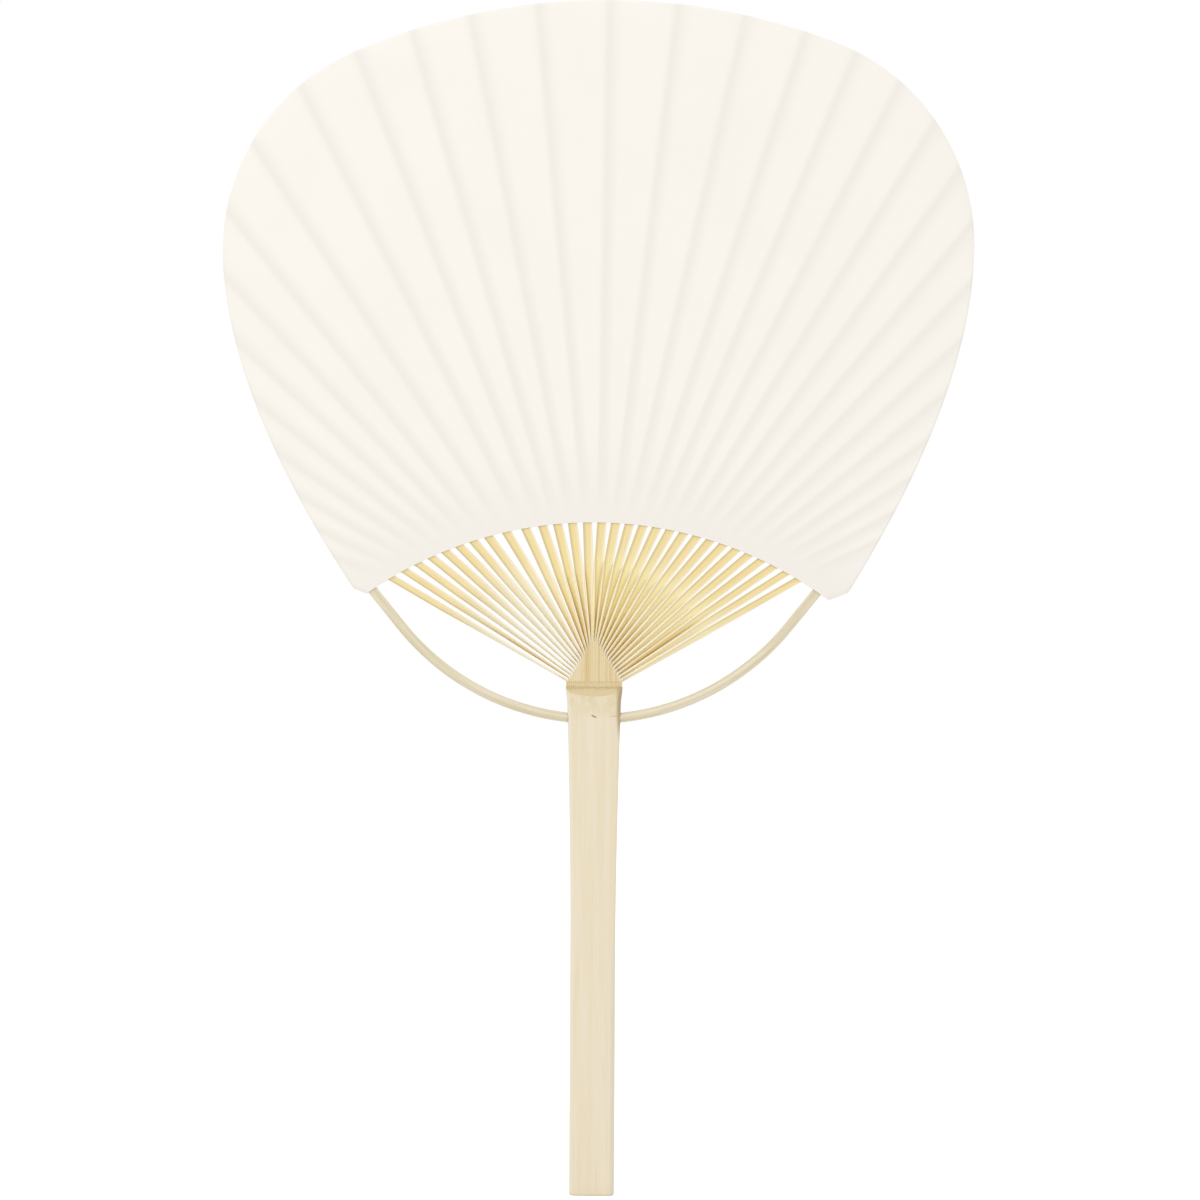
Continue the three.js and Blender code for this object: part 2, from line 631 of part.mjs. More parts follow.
const fan = new THREE.Group();
fan.name = "paddle_fan";
const bow = planBow();
const ribs = planRibs();
fan.add(piece("handle", makeHandle(bow), PLANED_BAMBOO, 0.55));
for (const rib of ribs) fan.add(piece(rib.name, makeRib(rib), SPLIT_BAMBOO, 0.6));
fan.add(piece("bow", makeBow(bow), BOW_BAMBOO, 0.5));
fan.add(piece("lacing_thread", makeLacing(ribs, bow), COTTON, 0.9));
fan.add(piece("front_leaf", makeLeaf(ribs, -1), PASTED_PAPER, 0.85));
fan.add(piece("back_leaf", makeLeaf(ribs, 1), PASTED_PAPER, 0.85));

export default fan;
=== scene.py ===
"""Dresses the paddle fan: a bamboo handle, split ribs, a bent bow, a woven lacing and two pasted papers.

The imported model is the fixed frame: metres, +Z up the handle, the front towards -Y, the origin in the
middle of the butt end. Sizes in this file are millimetres, and MM turns them to metres where a mesh is
made. A flat point has x to the right and y as the height above the seat of the ribs, the handle's top.
"""

from __future__ import annotations

import logging
import math
from abc import ABC, abstractmethod
from dataclasses import dataclass, field
from enum import IntEnum
from typing import Callable, Mapping, Sequence, Union

import bmesh
import bpy
import numpy as np
from mathutils import Matrix, Vector


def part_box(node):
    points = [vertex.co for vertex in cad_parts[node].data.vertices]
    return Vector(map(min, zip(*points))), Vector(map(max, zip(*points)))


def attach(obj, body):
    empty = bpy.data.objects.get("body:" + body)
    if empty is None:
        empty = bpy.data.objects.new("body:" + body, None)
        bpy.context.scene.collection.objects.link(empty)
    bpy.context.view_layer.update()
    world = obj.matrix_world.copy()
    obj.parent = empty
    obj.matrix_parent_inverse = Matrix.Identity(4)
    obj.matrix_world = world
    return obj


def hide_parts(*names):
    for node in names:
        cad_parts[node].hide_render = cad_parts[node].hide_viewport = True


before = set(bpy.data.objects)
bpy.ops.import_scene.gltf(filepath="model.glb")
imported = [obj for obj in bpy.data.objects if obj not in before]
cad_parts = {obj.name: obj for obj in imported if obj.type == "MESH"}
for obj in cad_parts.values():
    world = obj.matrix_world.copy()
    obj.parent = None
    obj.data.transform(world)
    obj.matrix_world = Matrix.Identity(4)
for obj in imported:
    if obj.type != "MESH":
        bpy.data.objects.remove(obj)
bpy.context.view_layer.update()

LOG = logging.getLogger("paddle_fan")
MM = 0.001
BODY = "root"
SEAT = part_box("handle")[1].z / MM
BACKWARDS = (0.0, 1.0, 0.0)

Tree = bpy.types.NodeTree
Socket = bpy.types.NodeSocket
Sockets = bpy.types.NodeOutputs
Material = bpy.types.Material
Mesh = bpy.types.Mesh
Object = bpy.types.Object
NodeInput = Union[Socket, float, int, bool, str, Sequence[float], bpy.types.ID]
Bearing = Callable[[float], float]
Colour = tuple[float, float, float, float]
Span = tuple[float, float]

# Places of the vector and colour sockets on a Mix node, which repeats their names for each kind of value.
MIX_LOW, MIX_HIGH, MIX_POINT = 4, 5, 1
MIX_BELOW, MIX_ABOVE, MIX_COLOUR = 6, 7, 2


class Side(IntEnum):
    """The two halves of the fan, by the sign of x."""

    LEFT = -1
    RIGHT = 1


class Face(IntEnum):
    """The two faces of the fan, by the sign of y."""

    FRONT = -1
    BACK = 1


def lerp(low: float, high: float, share: float) -> float:
    """The value a share of the way from low to high."""
    return low + (high - low) * share


def clamp(value: float, low: float, high: float) -> float:
    """The value, kept between low and high."""
    return max(low, min(high, value))


def spread(low: float, high: float, count: int) -> list[float]:
    """Evenly spaced values from low to high."""
    return [lerp(low, high, i / (count - 1)) for i in range(count)]


def smoothstep(value: float, low: float, high: float) -> float:
    """0 below low, 1 above high, and a smooth rise between them."""
    share = clamp((value - low) / (high - low), 0.0, 1.0)
    return share * share * (3.0 - 2.0 * share)


def fall(value: float, low: float, high: float) -> float:
    """1 below low, 0 above high, and a smooth fall between them."""
    return 1.0 - smoothstep(value, low, high)


def linear(code: str) -> Colour:
    """Turns an sRGB hex colour to linear RGBA.

    Args:
        code: The colour as "#rrggbb".

    Returns:
        The linear channels, with alpha 1.
    """
    parts = [int(code[i : i + 2], 16) / 255.0 for i in (1, 3, 5)]
    red, green, blue = (c / 12.92 if c <= 0.04045 else ((c + 0.055) / 1.055) ** 2.4 for c in parts)
    return (red, green, blue, 1.0)


def flat(x: float, height: float) -> Vector:
    """A point of the fan's plane, in millimetres."""
    return Vector((x, height))


def polar(angle: float, distance: float) -> Vector:
    """A flat point at a bearing from upright and a distance from the seat."""
    return flat(distance * math.sin(angle), distance * math.cos(angle))


def bearing(point: Vector) -> float:
    """The angle of a flat point seen from the seat, from upright, positive to the right."""
    return math.atan2(point.x, point.y)


def rounded(a: Vector, turn: Vector, b: Vector, shares: Sequence[float]) -> list[Vector]:
    """Points of a rounded turn from a to b, each a share of the way round."""
    return [(1 - t) ** 2 * a + 2 * t * (1 - t) * turn + t * t * b for t in shares]


def in_space(point: Vector, depth: float = 0.0) -> Vector:
    """Places a flat point in the frame.

    Args:
        point: The flat point, in millimetres.
        depth: Its depth in millimetres, positive towards the back.

    Returns:
        The point in the frame, in metres.
    """
    return Vector((point.x, depth, SEAT + point.y)) * MM


def add_object(name: str, data: bpy.types.ID) -> Object:
    """Puts a new object in the scene.

    Args:
        name: The object's name.
        data: Its mesh, lamp or camera.

    Returns:
        The object.
    """
    made = bpy.data.objects.new(name, data)
    bpy.context.scene.collection.objects.link(made)
    return made


def add_node(
    tree: Tree, kind: str, inputs: Mapping[Union[str, int], NodeInput] | None = None, **settings: object
) -> Sockets:
    """Adds a node to a tree, with its settings and its inputs.

    Args:
        tree: The tree of shader or geometry nodes.
        kind: The node's type.
        inputs: A value, a hex colour or an output to link, for each input by name or place.
        **settings: The node's own properties, set before its inputs.

    Returns:
        The new node's outputs.
    """
    node = tree.nodes.new(kind)
    for name, value in settings.items():
        setattr(node, name, value)
    for key, value in (inputs or {}).items():
        if isinstance(value, Socket):
            tree.links.new(value, node.inputs[key])
        elif isinstance(value, str) and value.startswith("#"):
            node.inputs[key].default_value = linear(value)
        else:
            node.inputs[key].default_value = value
    return node.outputs


def start_tree(name: str, sizes: Mapping[str, str]) -> tuple[Tree, Sockets]:
    """Starts a tree of geometry nodes that turns a guide into a piece.

    Args:
        name: The tree's name.
        sizes: The kind of each named input.

    Returns:
        The tree and its given inputs, with "Guide" as the first and "Finish" as the last.
    """
    tree = bpy.data.node_groups.new(name, "GeometryNodeTree")
    for socket, kind in {"Guide": "Geometry", **sizes, "Finish": "Material"}.items():
        tree.interface.new_socket(socket, in_out="INPUT", socket_type=f"NodeSocket{kind}")
    tree.interface.new_socket("Piece", in_out="OUTPUT", socket_type="NodeSocketGeometry")
    return tree, add_node(tree, "NodeGroupInput")


def end_tree(tree: Tree, given: Sockets, shape: Socket) -> None:
    """Ends a tree: smooth shading, real geometry and the finish.

    Args:
        tree: The tree.
        given: Its given inputs.
        shape: The socket that holds the finished shape.
    """
    smooth = add_node(tree, "GeometryNodeSetShadeSmooth", {"Geometry": shape})[0]
    real = add_node(tree, "GeometryNodeRealizeInstances", {"Geometry": smooth})[0]
    finish = {"Geometry": real, "Material": given["Finish"]}
    add_node(tree, "NodeGroupOutput", {"Piece": add_node(tree, "GeometryNodeSetMaterial", finish)[0]})


def value_kind(value: Socket) -> str:
    """How nodes that handle values by name or place call the value's type."""
    return "FLOAT_VECTOR" if value.type == "VECTOR" else "FLOAT"


def keep_values(tree: Tree, shape: Socket, values: Mapping[str, Socket]) -> Socket:
    """Keeps values on a shape under their names.

    Args:
        tree: The tree.
        shape: The shape's socket.
        values: The values' sockets, by name.

    Returns:
        The marked shape's socket.
    """
    for name, value in values.items():
        mark = {"Geometry": shape, "Name": name, "Value": value}
        shape = add_node(tree, "GeometryNodeStoreNamedAttribute", mark, data_type=value_kind(value))[0]
    return shape


def kept_values(tree: Tree, *names: str, vector: bool = False) -> list[Socket]:
    """The values that a shape keeps, for its tree or its finish to read.

    Args:
        tree: The tree of geometry or shader nodes.
        *names: The values' names.
        vector: Whether they are vectors, not numbers.

    Returns:
        The values' sockets.
    """
    if tree.type == "GEOMETRY":
        node, kind = "GeometryNodeInputNamedAttribute", "FLOAT_VECTOR" if vector else "FLOAT"
        return [add_node(tree, node, {"Name": name}, data_type=kind)[0] for name in names]
    out = "Vector" if vector else "Fac"
    return [add_node(tree, "ShaderNodeAttribute", attribute_name=name)[out] for name in names]


def sweep(tree: Tree, guide: Socket, normal: NodeInput, profile: Socket, scale: NodeInput = 1.0) -> Socket:
    """Sweeps a profile along a guide, and keeps "section" and "along", the place in the piece.

    Args:
        tree: The tree.
        guide: The guide's socket, a chain of edges.
        normal: Which way the profile's own X points.
        profile: The profile's socket.
        scale: The profile's scale at each point of the guide.

    Returns:
        The swept shape's socket.
    """
    line = add_node(tree, "GeometryNodeMeshToCurve", {"Mesh": guide})[0]
    turned = add_node(tree, "GeometryNodeSetCurveNormal", {"Curve": line, "Normal": normal}, mode="FREE")[0]
    length = add_node(tree, "GeometryNodeSplineParameter")["Length"]
    place = add_node(tree, "GeometryNodeInputPosition")[0]
    path = {
        "Curve": keep_values(tree, turned, {"along": length}),
        "Profile Curve": keep_values(tree, profile, {"section": place}),
        "Scale": scale,
        "Fill Caps": True,
    }
    return add_node(tree, "GeometryNodeCurveToMesh", path)[0]


def guide_line(name: str, points: Sequence[Vector], values: Mapping[str, Sequence[float]]) -> Mesh:
    """A chain of edges for a tree to sweep along.

    Args:
        name: The mesh's name.
        points: The chain's points in the frame, in metres.
        values: A number for each point, by attribute name.

    Returns:
        The mesh.
    """
    mesh = bpy.data.meshes.new(name)
    mesh.from_pydata([tuple(p) for p in points], [(i, i + 1) for i in range(len(points) - 1)], [])
    for attribute, numbers in values.items():
        mesh.attributes.new(attribute, "FLOAT", "POINT").data.foreach_set("value", numbers)
    return mesh


def face_outwards(mesh: Mesh) -> None:
    """Turns a closed mesh the right way out.

    Args:
        mesh: The mesh, changed in place.
    """
    shell = bmesh.new()
    shell.from_mesh(mesh)
    if shell.calc_volume(signed=True) < 0.0:
        bmesh.ops.reverse_faces(shell, faces=shell.faces[:])
        shell.to_mesh(mesh)
    shell.free()


def grow(tree: Tree, guide: Mesh, name: str, values: Mapping[str, object]) -> Object:
    """Runs a tree on a guide and keeps the result as a plain mesh.

    Args:
        tree: The tree of geometry nodes.
        guide: The guide that it works on.
        name: The piece's name.
        values: A value for each of the tree's named inputs.

    Returns:
        The piece, at the origin, with no modifier.
    """
    piece = add_object(name, guide)
    modifier = piece.modifiers.new(tree.name, "NODES")
    modifier.node_group = tree
    for item in tree.interface.items_tree:
        if item.in_out == "INPUT" and item.name in values:
            modifier[item.identifier] = values[item.name]
    return settle(piece)


def settle(piece: Object) -> Object:
    """Bakes a piece's modifiers into a plain mesh that faces outwards, with crisp edges.

    Args:
        piece: The object with its modifiers.

    Returns:
        The same object.
    """
    crisp_edge = math.radians(28.0)
    graph = bpy.context.evaluated_depsgraph_get()
    mesh = bpy.data.meshes.new_from_object(
        piece.evaluated_get(graph), preserve_all_data_layers=True, depsgraph=graph
    )
    piece.modifiers.clear()
    guide = piece.data
    piece.data = mesh
    mesh.name = piece.name
    bpy.data.meshes.remove(guide)
    face_outwards(mesh)
    mesh.set_sharp_from_angle(angle=crisp_edge)
    return piece


def seat(piece: Object, node: str) -> None:
    """Puts a piece in a CAD node's place.

    Args:
        piece: The finished piece.
        node: The CAD node that it stands for.
    """
    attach(piece, BODY)
    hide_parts(node)
    points = np.empty(len(piece.data.vertices) * 3, np.float32)
    piece.data.vertices.foreach_get("co", points)
    box = np.stack([points.reshape(-1, 3).min(0), points.reshape(-1, 3).max(0)])
    apart = np.abs(box - np.array([list(corner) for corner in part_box(node)])).max() / MM
    LOG.info("%s: %d faces, its box within %.2f mm of %s", piece.name, len(piece.data.polygons), apart, node)


@dataclass(frozen=True)
class Fade:
    """A number that changes smoothly from one to another while a value crosses a span."""

    value: Socket
    span: tuple[NodeInput, NodeInput]
    out: Span = (0.0, 1.0)


Factor = Union[Socket, float, Fade]


def product(tree: Tree, *factors: Factor) -> NodeInput:
    """Multiplies factors.

    Args:
        tree: The tree.
        *factors: Sockets, numbers and fades.

    Returns:
        The product's socket, or the factor itself where it is the only one.
    """
    found = None
    for factor in factors:
        if isinstance(factor, Fade):
            limits = zip(("From Min", "From Max", "To Min", "To Max"), (*factor.span, *factor.out))
            course = {"Value": factor.value, **dict(limits)}
            factor = add_node(tree, "ShaderNodeMapRange", course, interpolation_type="SMOOTHSTEP")[0]
        if found is not None:
            factor = add_node(tree, "ShaderNodeMath", {0: found, 1: factor}, operation="MULTIPLY")[0]
        found = factor
    return found


def painted(tree: Tree, ground: str, *coats: tuple[Union[str, Socket, Factor], ...]) -> Socket:
    """Lays coats of colour over a ground.

    Args:
        tree: The material's tree.
        ground: The ground's hex colour.
        *coats: From the lowest coat up, each one's colour, and the factors of how much of it shows.

    Returns:
        The finished colour's socket.
    """
    top: NodeInput = ground
    for colour, *factors in coats:
        mix = {0: product(tree, *factors), MIX_BELOW: top, MIX_ABOVE: colour}
        top = add_node(tree, "ShaderNodeMix", mix, data_type="RGBA")[MIX_COLOUR]
    return top


def grain_place(tree: Tree, start: NodeInput = 0.0) -> Socket:
    """The place in a swept piece: across its section, then along its line.

    Args:
        tree: The material's tree.
        start: What the line's length starts from, in metres.

    Returns:
        The place's socket, in metres.
    """
    (section,), (along,) = kept_values(tree, "section", vector=True), kept_values(tree, "along")
    parts = add_node(tree, "ShaderNodeSeparateXYZ", {"Vector": section})
    shifted = add_node(tree, "ShaderNodeMath", {0: along, 1: start}, operation="ADD")[0]
    return add_node(tree, "ShaderNodeCombineXYZ", {"X": parts["X"], "Y": parts["Y"], "Z": shifted})[0]


def apart_from(tree: Tree, value: Socket, mark: float) -> Socket:
    """How far a value lies from a mark, above or below it."""
    apart = add_node(tree, "ShaderNodeMath", {0: value, 1: mark}, operation="SUBTRACT")[0]
    return add_node(tree, "ShaderNodeMath", {0: apart}, operation="ABSOLUTE")[0]


def fibres(tree: Tree, place: Socket, width: float, length: float, detail: float) -> Socket:
    """Noise drawn out along the third axis, as bamboo's fibres are.

    Args:
        tree: The material's tree.
        place: The coordinates, in metres.
        width: A fibre's width, in millimetres.
        length: Its length, in millimetres.
        detail: The noise's detail.

    Returns:
        The noise's socket, from 0 to 1.
    """
    across, along = 1.0 / (width * MM), 1.0 / (length * MM)
    drawn = add_node(tree, "ShaderNodeMapping", {"Vector": place, "Scale": (across, across, along)})[0]
    noise = {"Vector": drawn, "Scale": 1.0, "Detail": detail, "Roughness": 0.55}
    return add_node(tree, "ShaderNodeTexNoise", noise)[0]


def spot(tree: Tree, centre: Sequence[float], half: Sequence[float], lean: float = 0.0) -> Fade:
    """A soft mark inside an ellipsoid in the frame.

    Args:
        tree: The material's tree.
        centre: The mark's middle, in millimetres.
        half: Its half-sizes, in millimetres.
        lean: Its turn about Y, in degrees.

    Returns:
        The mark's fade: 1 in the middle, 0 outside.
    """
    placing = {
        "Vector": add_node(tree, "ShaderNodeTexCoord")["Object"],
        "Location": [c * MM for c in centre],
        "Rotation": (0.0, math.radians(lean), 0.0),
        "Scale": [h * MM for h in half],
    }
    local = add_node(tree, "ShaderNodeMapping", placing, vector_type="TEXTURE")[0]
    away = add_node(tree, "ShaderNodeVectorMath", {0: local}, operation="LENGTH")["Value"]
    full_share = 0.35
    return Fade(away, (full_share, 1.0), (1.0, 0.0))


class Finish(ABC):
    """A finish: a material with one surface shader, fed by the finish's own nodes."""

    name: str

    @abstractmethod
    def surface(self, tree: Tree) -> dict[str, NodeInput]:
        """Adds the finish's nodes to a tree and gives the shader's inputs."""

    def material(self) -> Material:
        """Makes the material.

        Returns:
            The material, with its nodes in place.
        """
        made = bpy.data.materials.new(self.name)
        made.use_nodes = True
        tree = made.node_tree
        tree.nodes.clear()
        shader = add_node(tree, "ShaderNodeBsdfPrincipled", self.surface(tree))
        add_node(tree, "ShaderNodeOutputMaterial", {"Surface": shader[0]})
        return made


@dataclass(frozen=True)
class PlanedBamboo(Finish):
    """Bamboo scraped and planed, then rubbed: pale straw, long faint fibres, a soft satin sheen."""

    name: str = "planed_bamboo"
    straw: str = "#ebdec1"
    pale: str = "#eee2ca"
    fibre: str = "#e1cfa6"
    neck: str = "#e3d2ad"
    node: str = "#ddc99e"
    seam: str = "#c6ae7c"
    painted_shade_by_hole: str = "#b5a07b"
    painted_highlight_left: str = "#f0e8d6"
    nick: str = "#8a7448"
    painted_shade_right: str = "#e0d8c3"
    roughness: float = 0.52
    streak_width: float = 2.4
    streak_length: float = 75.0
    fibre_width: float = 0.45
    fibre_length: float = 16.0
    fibre_depth: float = 0.03
    mottle_size: float = 1.1
    neck_drop: float = 11.0
    node_drop: float = 5.0
    node_edge: float = 0.5
    seam_drop: float = 0.35
    seam_wander: float = 0.3

    def surface(self, tree: Tree) -> dict[str, NodeInput]:
        """Streaks, fibres, a mottled neck, a painted highlight on the left-facing edge, painted shade down
        the right edge and beside the bow's hole, the darker bevelled node, its seam, and small marks.

        Args:
            tree: The material's tree.

        Returns:
            The shader's inputs.
        """
        place = add_node(tree, "ShaderNodeTexCoord")["Object"]
        height = add_node(tree, "ShaderNodeSeparateXYZ", {"Vector": place})["Z"]
        normal = add_node(tree, "ShaderNodeNewGeometry")["Normal"]
        facing = add_node(tree, "ShaderNodeSeparateXYZ", {"Vector": normal})
        streaks = fibres(tree, place, self.streak_width, self.streak_length, 2.0)
        fine = fibres(tree, place, self.fibre_width, self.fibre_length, 3.0)
        mottle = fibres(tree, place, self.mottle_size, 2.0 * self.mottle_size, 2.0)
        wander = product(tree, Fade(mottle, (0.3, 0.7), (-self.seam_wander * MM, self.seam_wander * MM)))
        ragged = add_node(tree, "ShaderNodeMath", {0: height, 1: wander}, operation="ADD")[0]
        off_seam = apart_from(tree, ragged, (SEAT - self.seam_drop) * MM)
        neck_foot, node_foot = (SEAT - self.neck_drop) * MM, (SEAT - self.node_drop) * MM
        node_top = (SEAT - self.node_drop + self.node_edge) * MM
        colour = painted(
            tree,
            self.straw,
            (self.pale, Fade(streaks, (0.35, 0.65))),
            (self.fibre, Fade(fine, (0.5, 0.75), (0.0, 0.35))),
            (self.neck, Fade(mottle, (0.35, 0.6), (0.1, 0.85)), Fade(height, (neck_foot, node_foot))),
            # Painted highlight: the left-facing side of the rounded edge is made paler, as if lit from the
            # left.
            (self.painted_highlight_left, Fade(facing["X"], (-0.6, -0.15), (0.8, 0.0))),
            (self.node, Fade(facing["Z"], (0.12, 0.3)), Fade(height, (node_foot, node_top))),
            (self.seam, Fade(off_seam, (0.15 * MM, 0.7 * MM), (0.65, 0.0))),
            # Painted shade down the right edge beside the bow's hole.
            (self.painted_shade_by_hole, spot(tree, (8.4, -2.0, SEAT - 6.5), (2.0, 6.0, 13.0))),
            (self.nick, spot(tree, (-0.05, -2.75, SEAT - 9.05), (1.3, 2.0, 0.3), 26.0)),
            (self.seam, spot(tree, (6.6, -2.3, SEAT - 9.0), (2.2, 2.0, 0.16))),
            # Painted shade in a long strip down the right edge of the grip.
            (self.painted_shade_right, spot(tree, (6.25, -2.0, 12.0), (0.9, 6.0, 95.0))),
        )
        gloss = product(tree, Fade(fine, (0.3, 0.7), (self.roughness - 0.06, self.roughness + 0.08)))
        grooves = {"Height": fine, "Strength": 0.35, "Distance": self.fibre_depth * MM}
        bump = add_node(tree, "ShaderNodeBump", grooves)[0]
        return {"Base Color": colour, "Roughness": gloss, "Normal": bump}


@dataclass(frozen=True)
class SplitBamboo(Finish):
    """Bamboo split along its grain and left raw: yellower than the planed face, with straight fibres."""

    name: str = "split_bamboo"
    pale: str = "#f4ebd0"
    yellow: str = "#f6dfa0"
    line: str = "#e2c884"
    painted_shade_left_edge: str = "#d8c68f"
    painted_highlight_right_edge: str = "#fff9e6"
    front_face: str = "#fce8b4"
    fresh: str = "#fff0ae"
    groove_shade: str = "#a2722c"
    golden: str = "#e9cb78"
    bleached: str = "#fdf9ee"
    crown: str = "#dcc38d"
    crown_pale: str = "#e9d7ad"
    foot: str = "#e2cd9e"
    seam: str = "#d2bb8a"
    roughness: float = 0.6
    fibre_width: float = 0.28
    fibre_length: float = 13.0
    fibre_depth: float = 0.03
    # Each rib's fibres start elsewhere in the noise, by its tone, so that no two ribs look the same.
    fibre_shift: float = 370.0
    crown_share: float = 0.85
    foot_height: float = 1.5

    def surface(self, tree: Tree) -> dict[str, NodeInput]:
        """Each rib's tone and fibres, painted shade on its left edge, a painted highlight on its right edge,
        fresh and bleached wood, painted shade in the grooves between the ribs, and the crown.

        Args:
            tree: The material's tree.

        Returns:
            The shader's inputs.
        """
        along, tone, ripe, across, side = kept_values(tree, "along", "tone", "ripe", "across", "side")
        crown, fresh, groove_shade, bleached, rim = kept_values(tree, "crown", "fresh", "groove_shade", "bleached", "rim")
        rightward = product(tree, across, side)
        place = grain_place(tree, product(tree, tone, self.fibre_shift * MM))
        fine = fibres(tree, place, self.fibre_width, self.fibre_length, 3.0)
        streaked = painted(tree, self.crown_pale, (self.crown, Fade(tone, (0.7, 1.0))))
        foot_top = self.foot_height * MM
        off_seam = apart_from(tree, along, foot_top)
        colour = painted(
            tree,
            self.pale,
            (self.yellow, ripe),
            (self.line, Fade(fine, (0.45, 0.75), (0.0, 0.5))),
            (self.fresh, fresh),
            # Painted shade over the left part of each rib's face.
            (self.painted_shade_left_edge, Fade(rightward, (-0.8, -0.2), (1.0, 0.0)), Fade(ripe, (0.0, 1.0), (0.35, 0.9))),
            # Painted highlight along each rib's right edge, scaled by the rim value.
            (self.painted_highlight_right_edge, Fade(rightward, (0.3, 0.9), (0.0, 0.8)), rim),
            (self.front_face, Fade(across, (-1.0, -0.93), (1.0, 0.0))),
            (self.bleached, bleached),
            (self.golden, Fade(groove_shade, (0.0, 1.0), (0.0, 0.75))),
            # Painted shade in the groove between neighbouring ribs near the crown.
            (self.groove_shade, Fade(across, (-0.4, 0.6)), Fade(across, (0.2, 0.8), (1.0, 0.1)), groove_shade),
            (streaked, crown, self.crown_share),
            (self.foot, Fade(along, (0.8 * foot_top, 1.2 * foot_top), (0.8, 0.0))),
            (self.seam, Fade(off_seam, (0.1 * MM, 0.5 * MM), (0.45, 0.0))),
        )
        grooves = {"Height": fine, "Strength": 0.4, "Distance": self.fibre_depth * MM}
        bump = add_node(tree, "ShaderNodeBump", grooves)[0]
        return {"Base Color": colour, "Roughness": self.roughness, "Normal": bump}


@dataclass(frozen=True)
class ScrapedBamboo(Finish):
    """Bamboo scraped to a round rod and bent over heat: greyer straw, faint scrape lines, satin."""

    name: str = "scraped_bamboo"
    straw: str = "#e8dfc6"
    grey: str = "#dbcdab"
    roughness: float = 0.5
    streak_width: float = 0.8
    streak_length: float = 26.0
    streak_depth: float = 0.04

    def surface(self, tree: Tree) -> dict[str, NodeInput]:
        """Long soft streaks that follow the bend.

        Args:
            tree: The material's tree.

        Returns:
            The shader's inputs.
        """
        streaks = fibres(tree, grain_place(tree), self.streak_width, self.streak_length, 3.0)
        colour = painted(tree, self.straw, (self.grey, Fade(streaks, (0.35, 0.7))))
        grooves = {"Height": streaks, "Strength": 0.3, "Distance": self.streak_depth * MM}
        bump = add_node(tree, "ShaderNodeBump", grooves)[0]
        return {"Base Color": colour, "Roughness": self.roughness, "Normal": bump}


@dataclass(frozen=True)
class PastedPaper(Finish):
    """Smooth bleached paper pasted over the ribs: warm white, matt, with the ribs' shade painted where they
    show faintly through.
    """

    name: str = "pasted_paper"
    white: str = "#fbf7f0"
    cloud: str = "#faf6ee"
    over_rib: str = "#f3efe8"
    hem: str = "#f6f1ea"
    roughness: float = 0.88
    specular: float = 0.25
    cloud_size: float = 26.0
    hem_width: float = 30.0
    band_fade: float = 15.0
    # Paper fibres are about 0.03 mm wide, and are drawn coarser here so that they show.
    fibre_size: float = 0.6
    tooth_depth: float = 0.02

    def surface(self, tree: Tree) -> dict[str, NodeInput]:
        """Faint clouds, a duller hem, painted shade in bands over the ribs, and a fine tooth.

        Args:
            tree: The material's tree.

        Returns:
            The shader's inputs.
        """
        place = add_node(tree, "ShaderNodeTexCoord")["Object"]
        shade, from_hem = kept_values(tree, "rib_shade", "from_hem")
        scales = (1.0 / (size * MM) for size in (self.cloud_size, self.fibre_size))
        cloud, tooth = (
            add_node(tree, "ShaderNodeTexNoise", {"Vector": place, "Scale": scale, "Detail": detail})[0]
            for scale, detail in zip(scales, (3.0, 2.0))
        )
        colour = painted(
            tree,
            self.white,
            (self.cloud, Fade(cloud, (0.4, 0.65))),
            (self.hem, Fade(from_hem, (0.0, self.hem_width * MM), (1.0, 0.0))),
            # Painted shade of the ribs seen through the paper, darkest along each rib's left edge.
            (self.over_rib, shade, Fade(from_hem, (0.0, self.band_fade * MM), (0.15, 1.0))),
        )
        grain = {"Height": tooth, "Strength": 0.12, "Distance": self.tooth_depth * MM}
        bump = add_node(tree, "ShaderNodeBump", grain)[0]
        matt = {"Roughness": self.roughness, "Specular IOR Level": self.specular}
        return {"Base Color": colour, "Normal": bump, **matt}


@dataclass(frozen=True)
class CottonThread(Finish):
    """Undyed cotton thread, two strands twisted together: matt, with slanting turns."""

    name: str = "cotton_thread"
    light: str = "#f0e9d9"
    dark: str = "#d9cfb8"
    roughness: float = 0.95
    turn_length: float = 0.9

    def surface(self, tree: Tree) -> dict[str, NodeInput]:
        """Slanting bands, one for each half turn of the strands.

        Args:
            tree: The material's tree.

        Returns:
            The shader's inputs.
        """
        parts = add_node(tree, "ShaderNodeSeparateXYZ", {"Vector": grain_place(tree)})
        slanted = add_node(tree, "ShaderNodeMath", {0: parts["Z"], 1: parts["X"]}, operation="ADD")[0]
        phase = product(tree, slanted, 2.0 * math.pi / (self.turn_length * MM))
        wave = add_node(tree, "ShaderNodeMath", {0: phase}, operation="SINE")[0]
        colour = painted(tree, self.dark, (self.light, Fade(wave, (-1.0, 1.0))))
        return {"Base Color": colour, "Roughness": self.roughness}


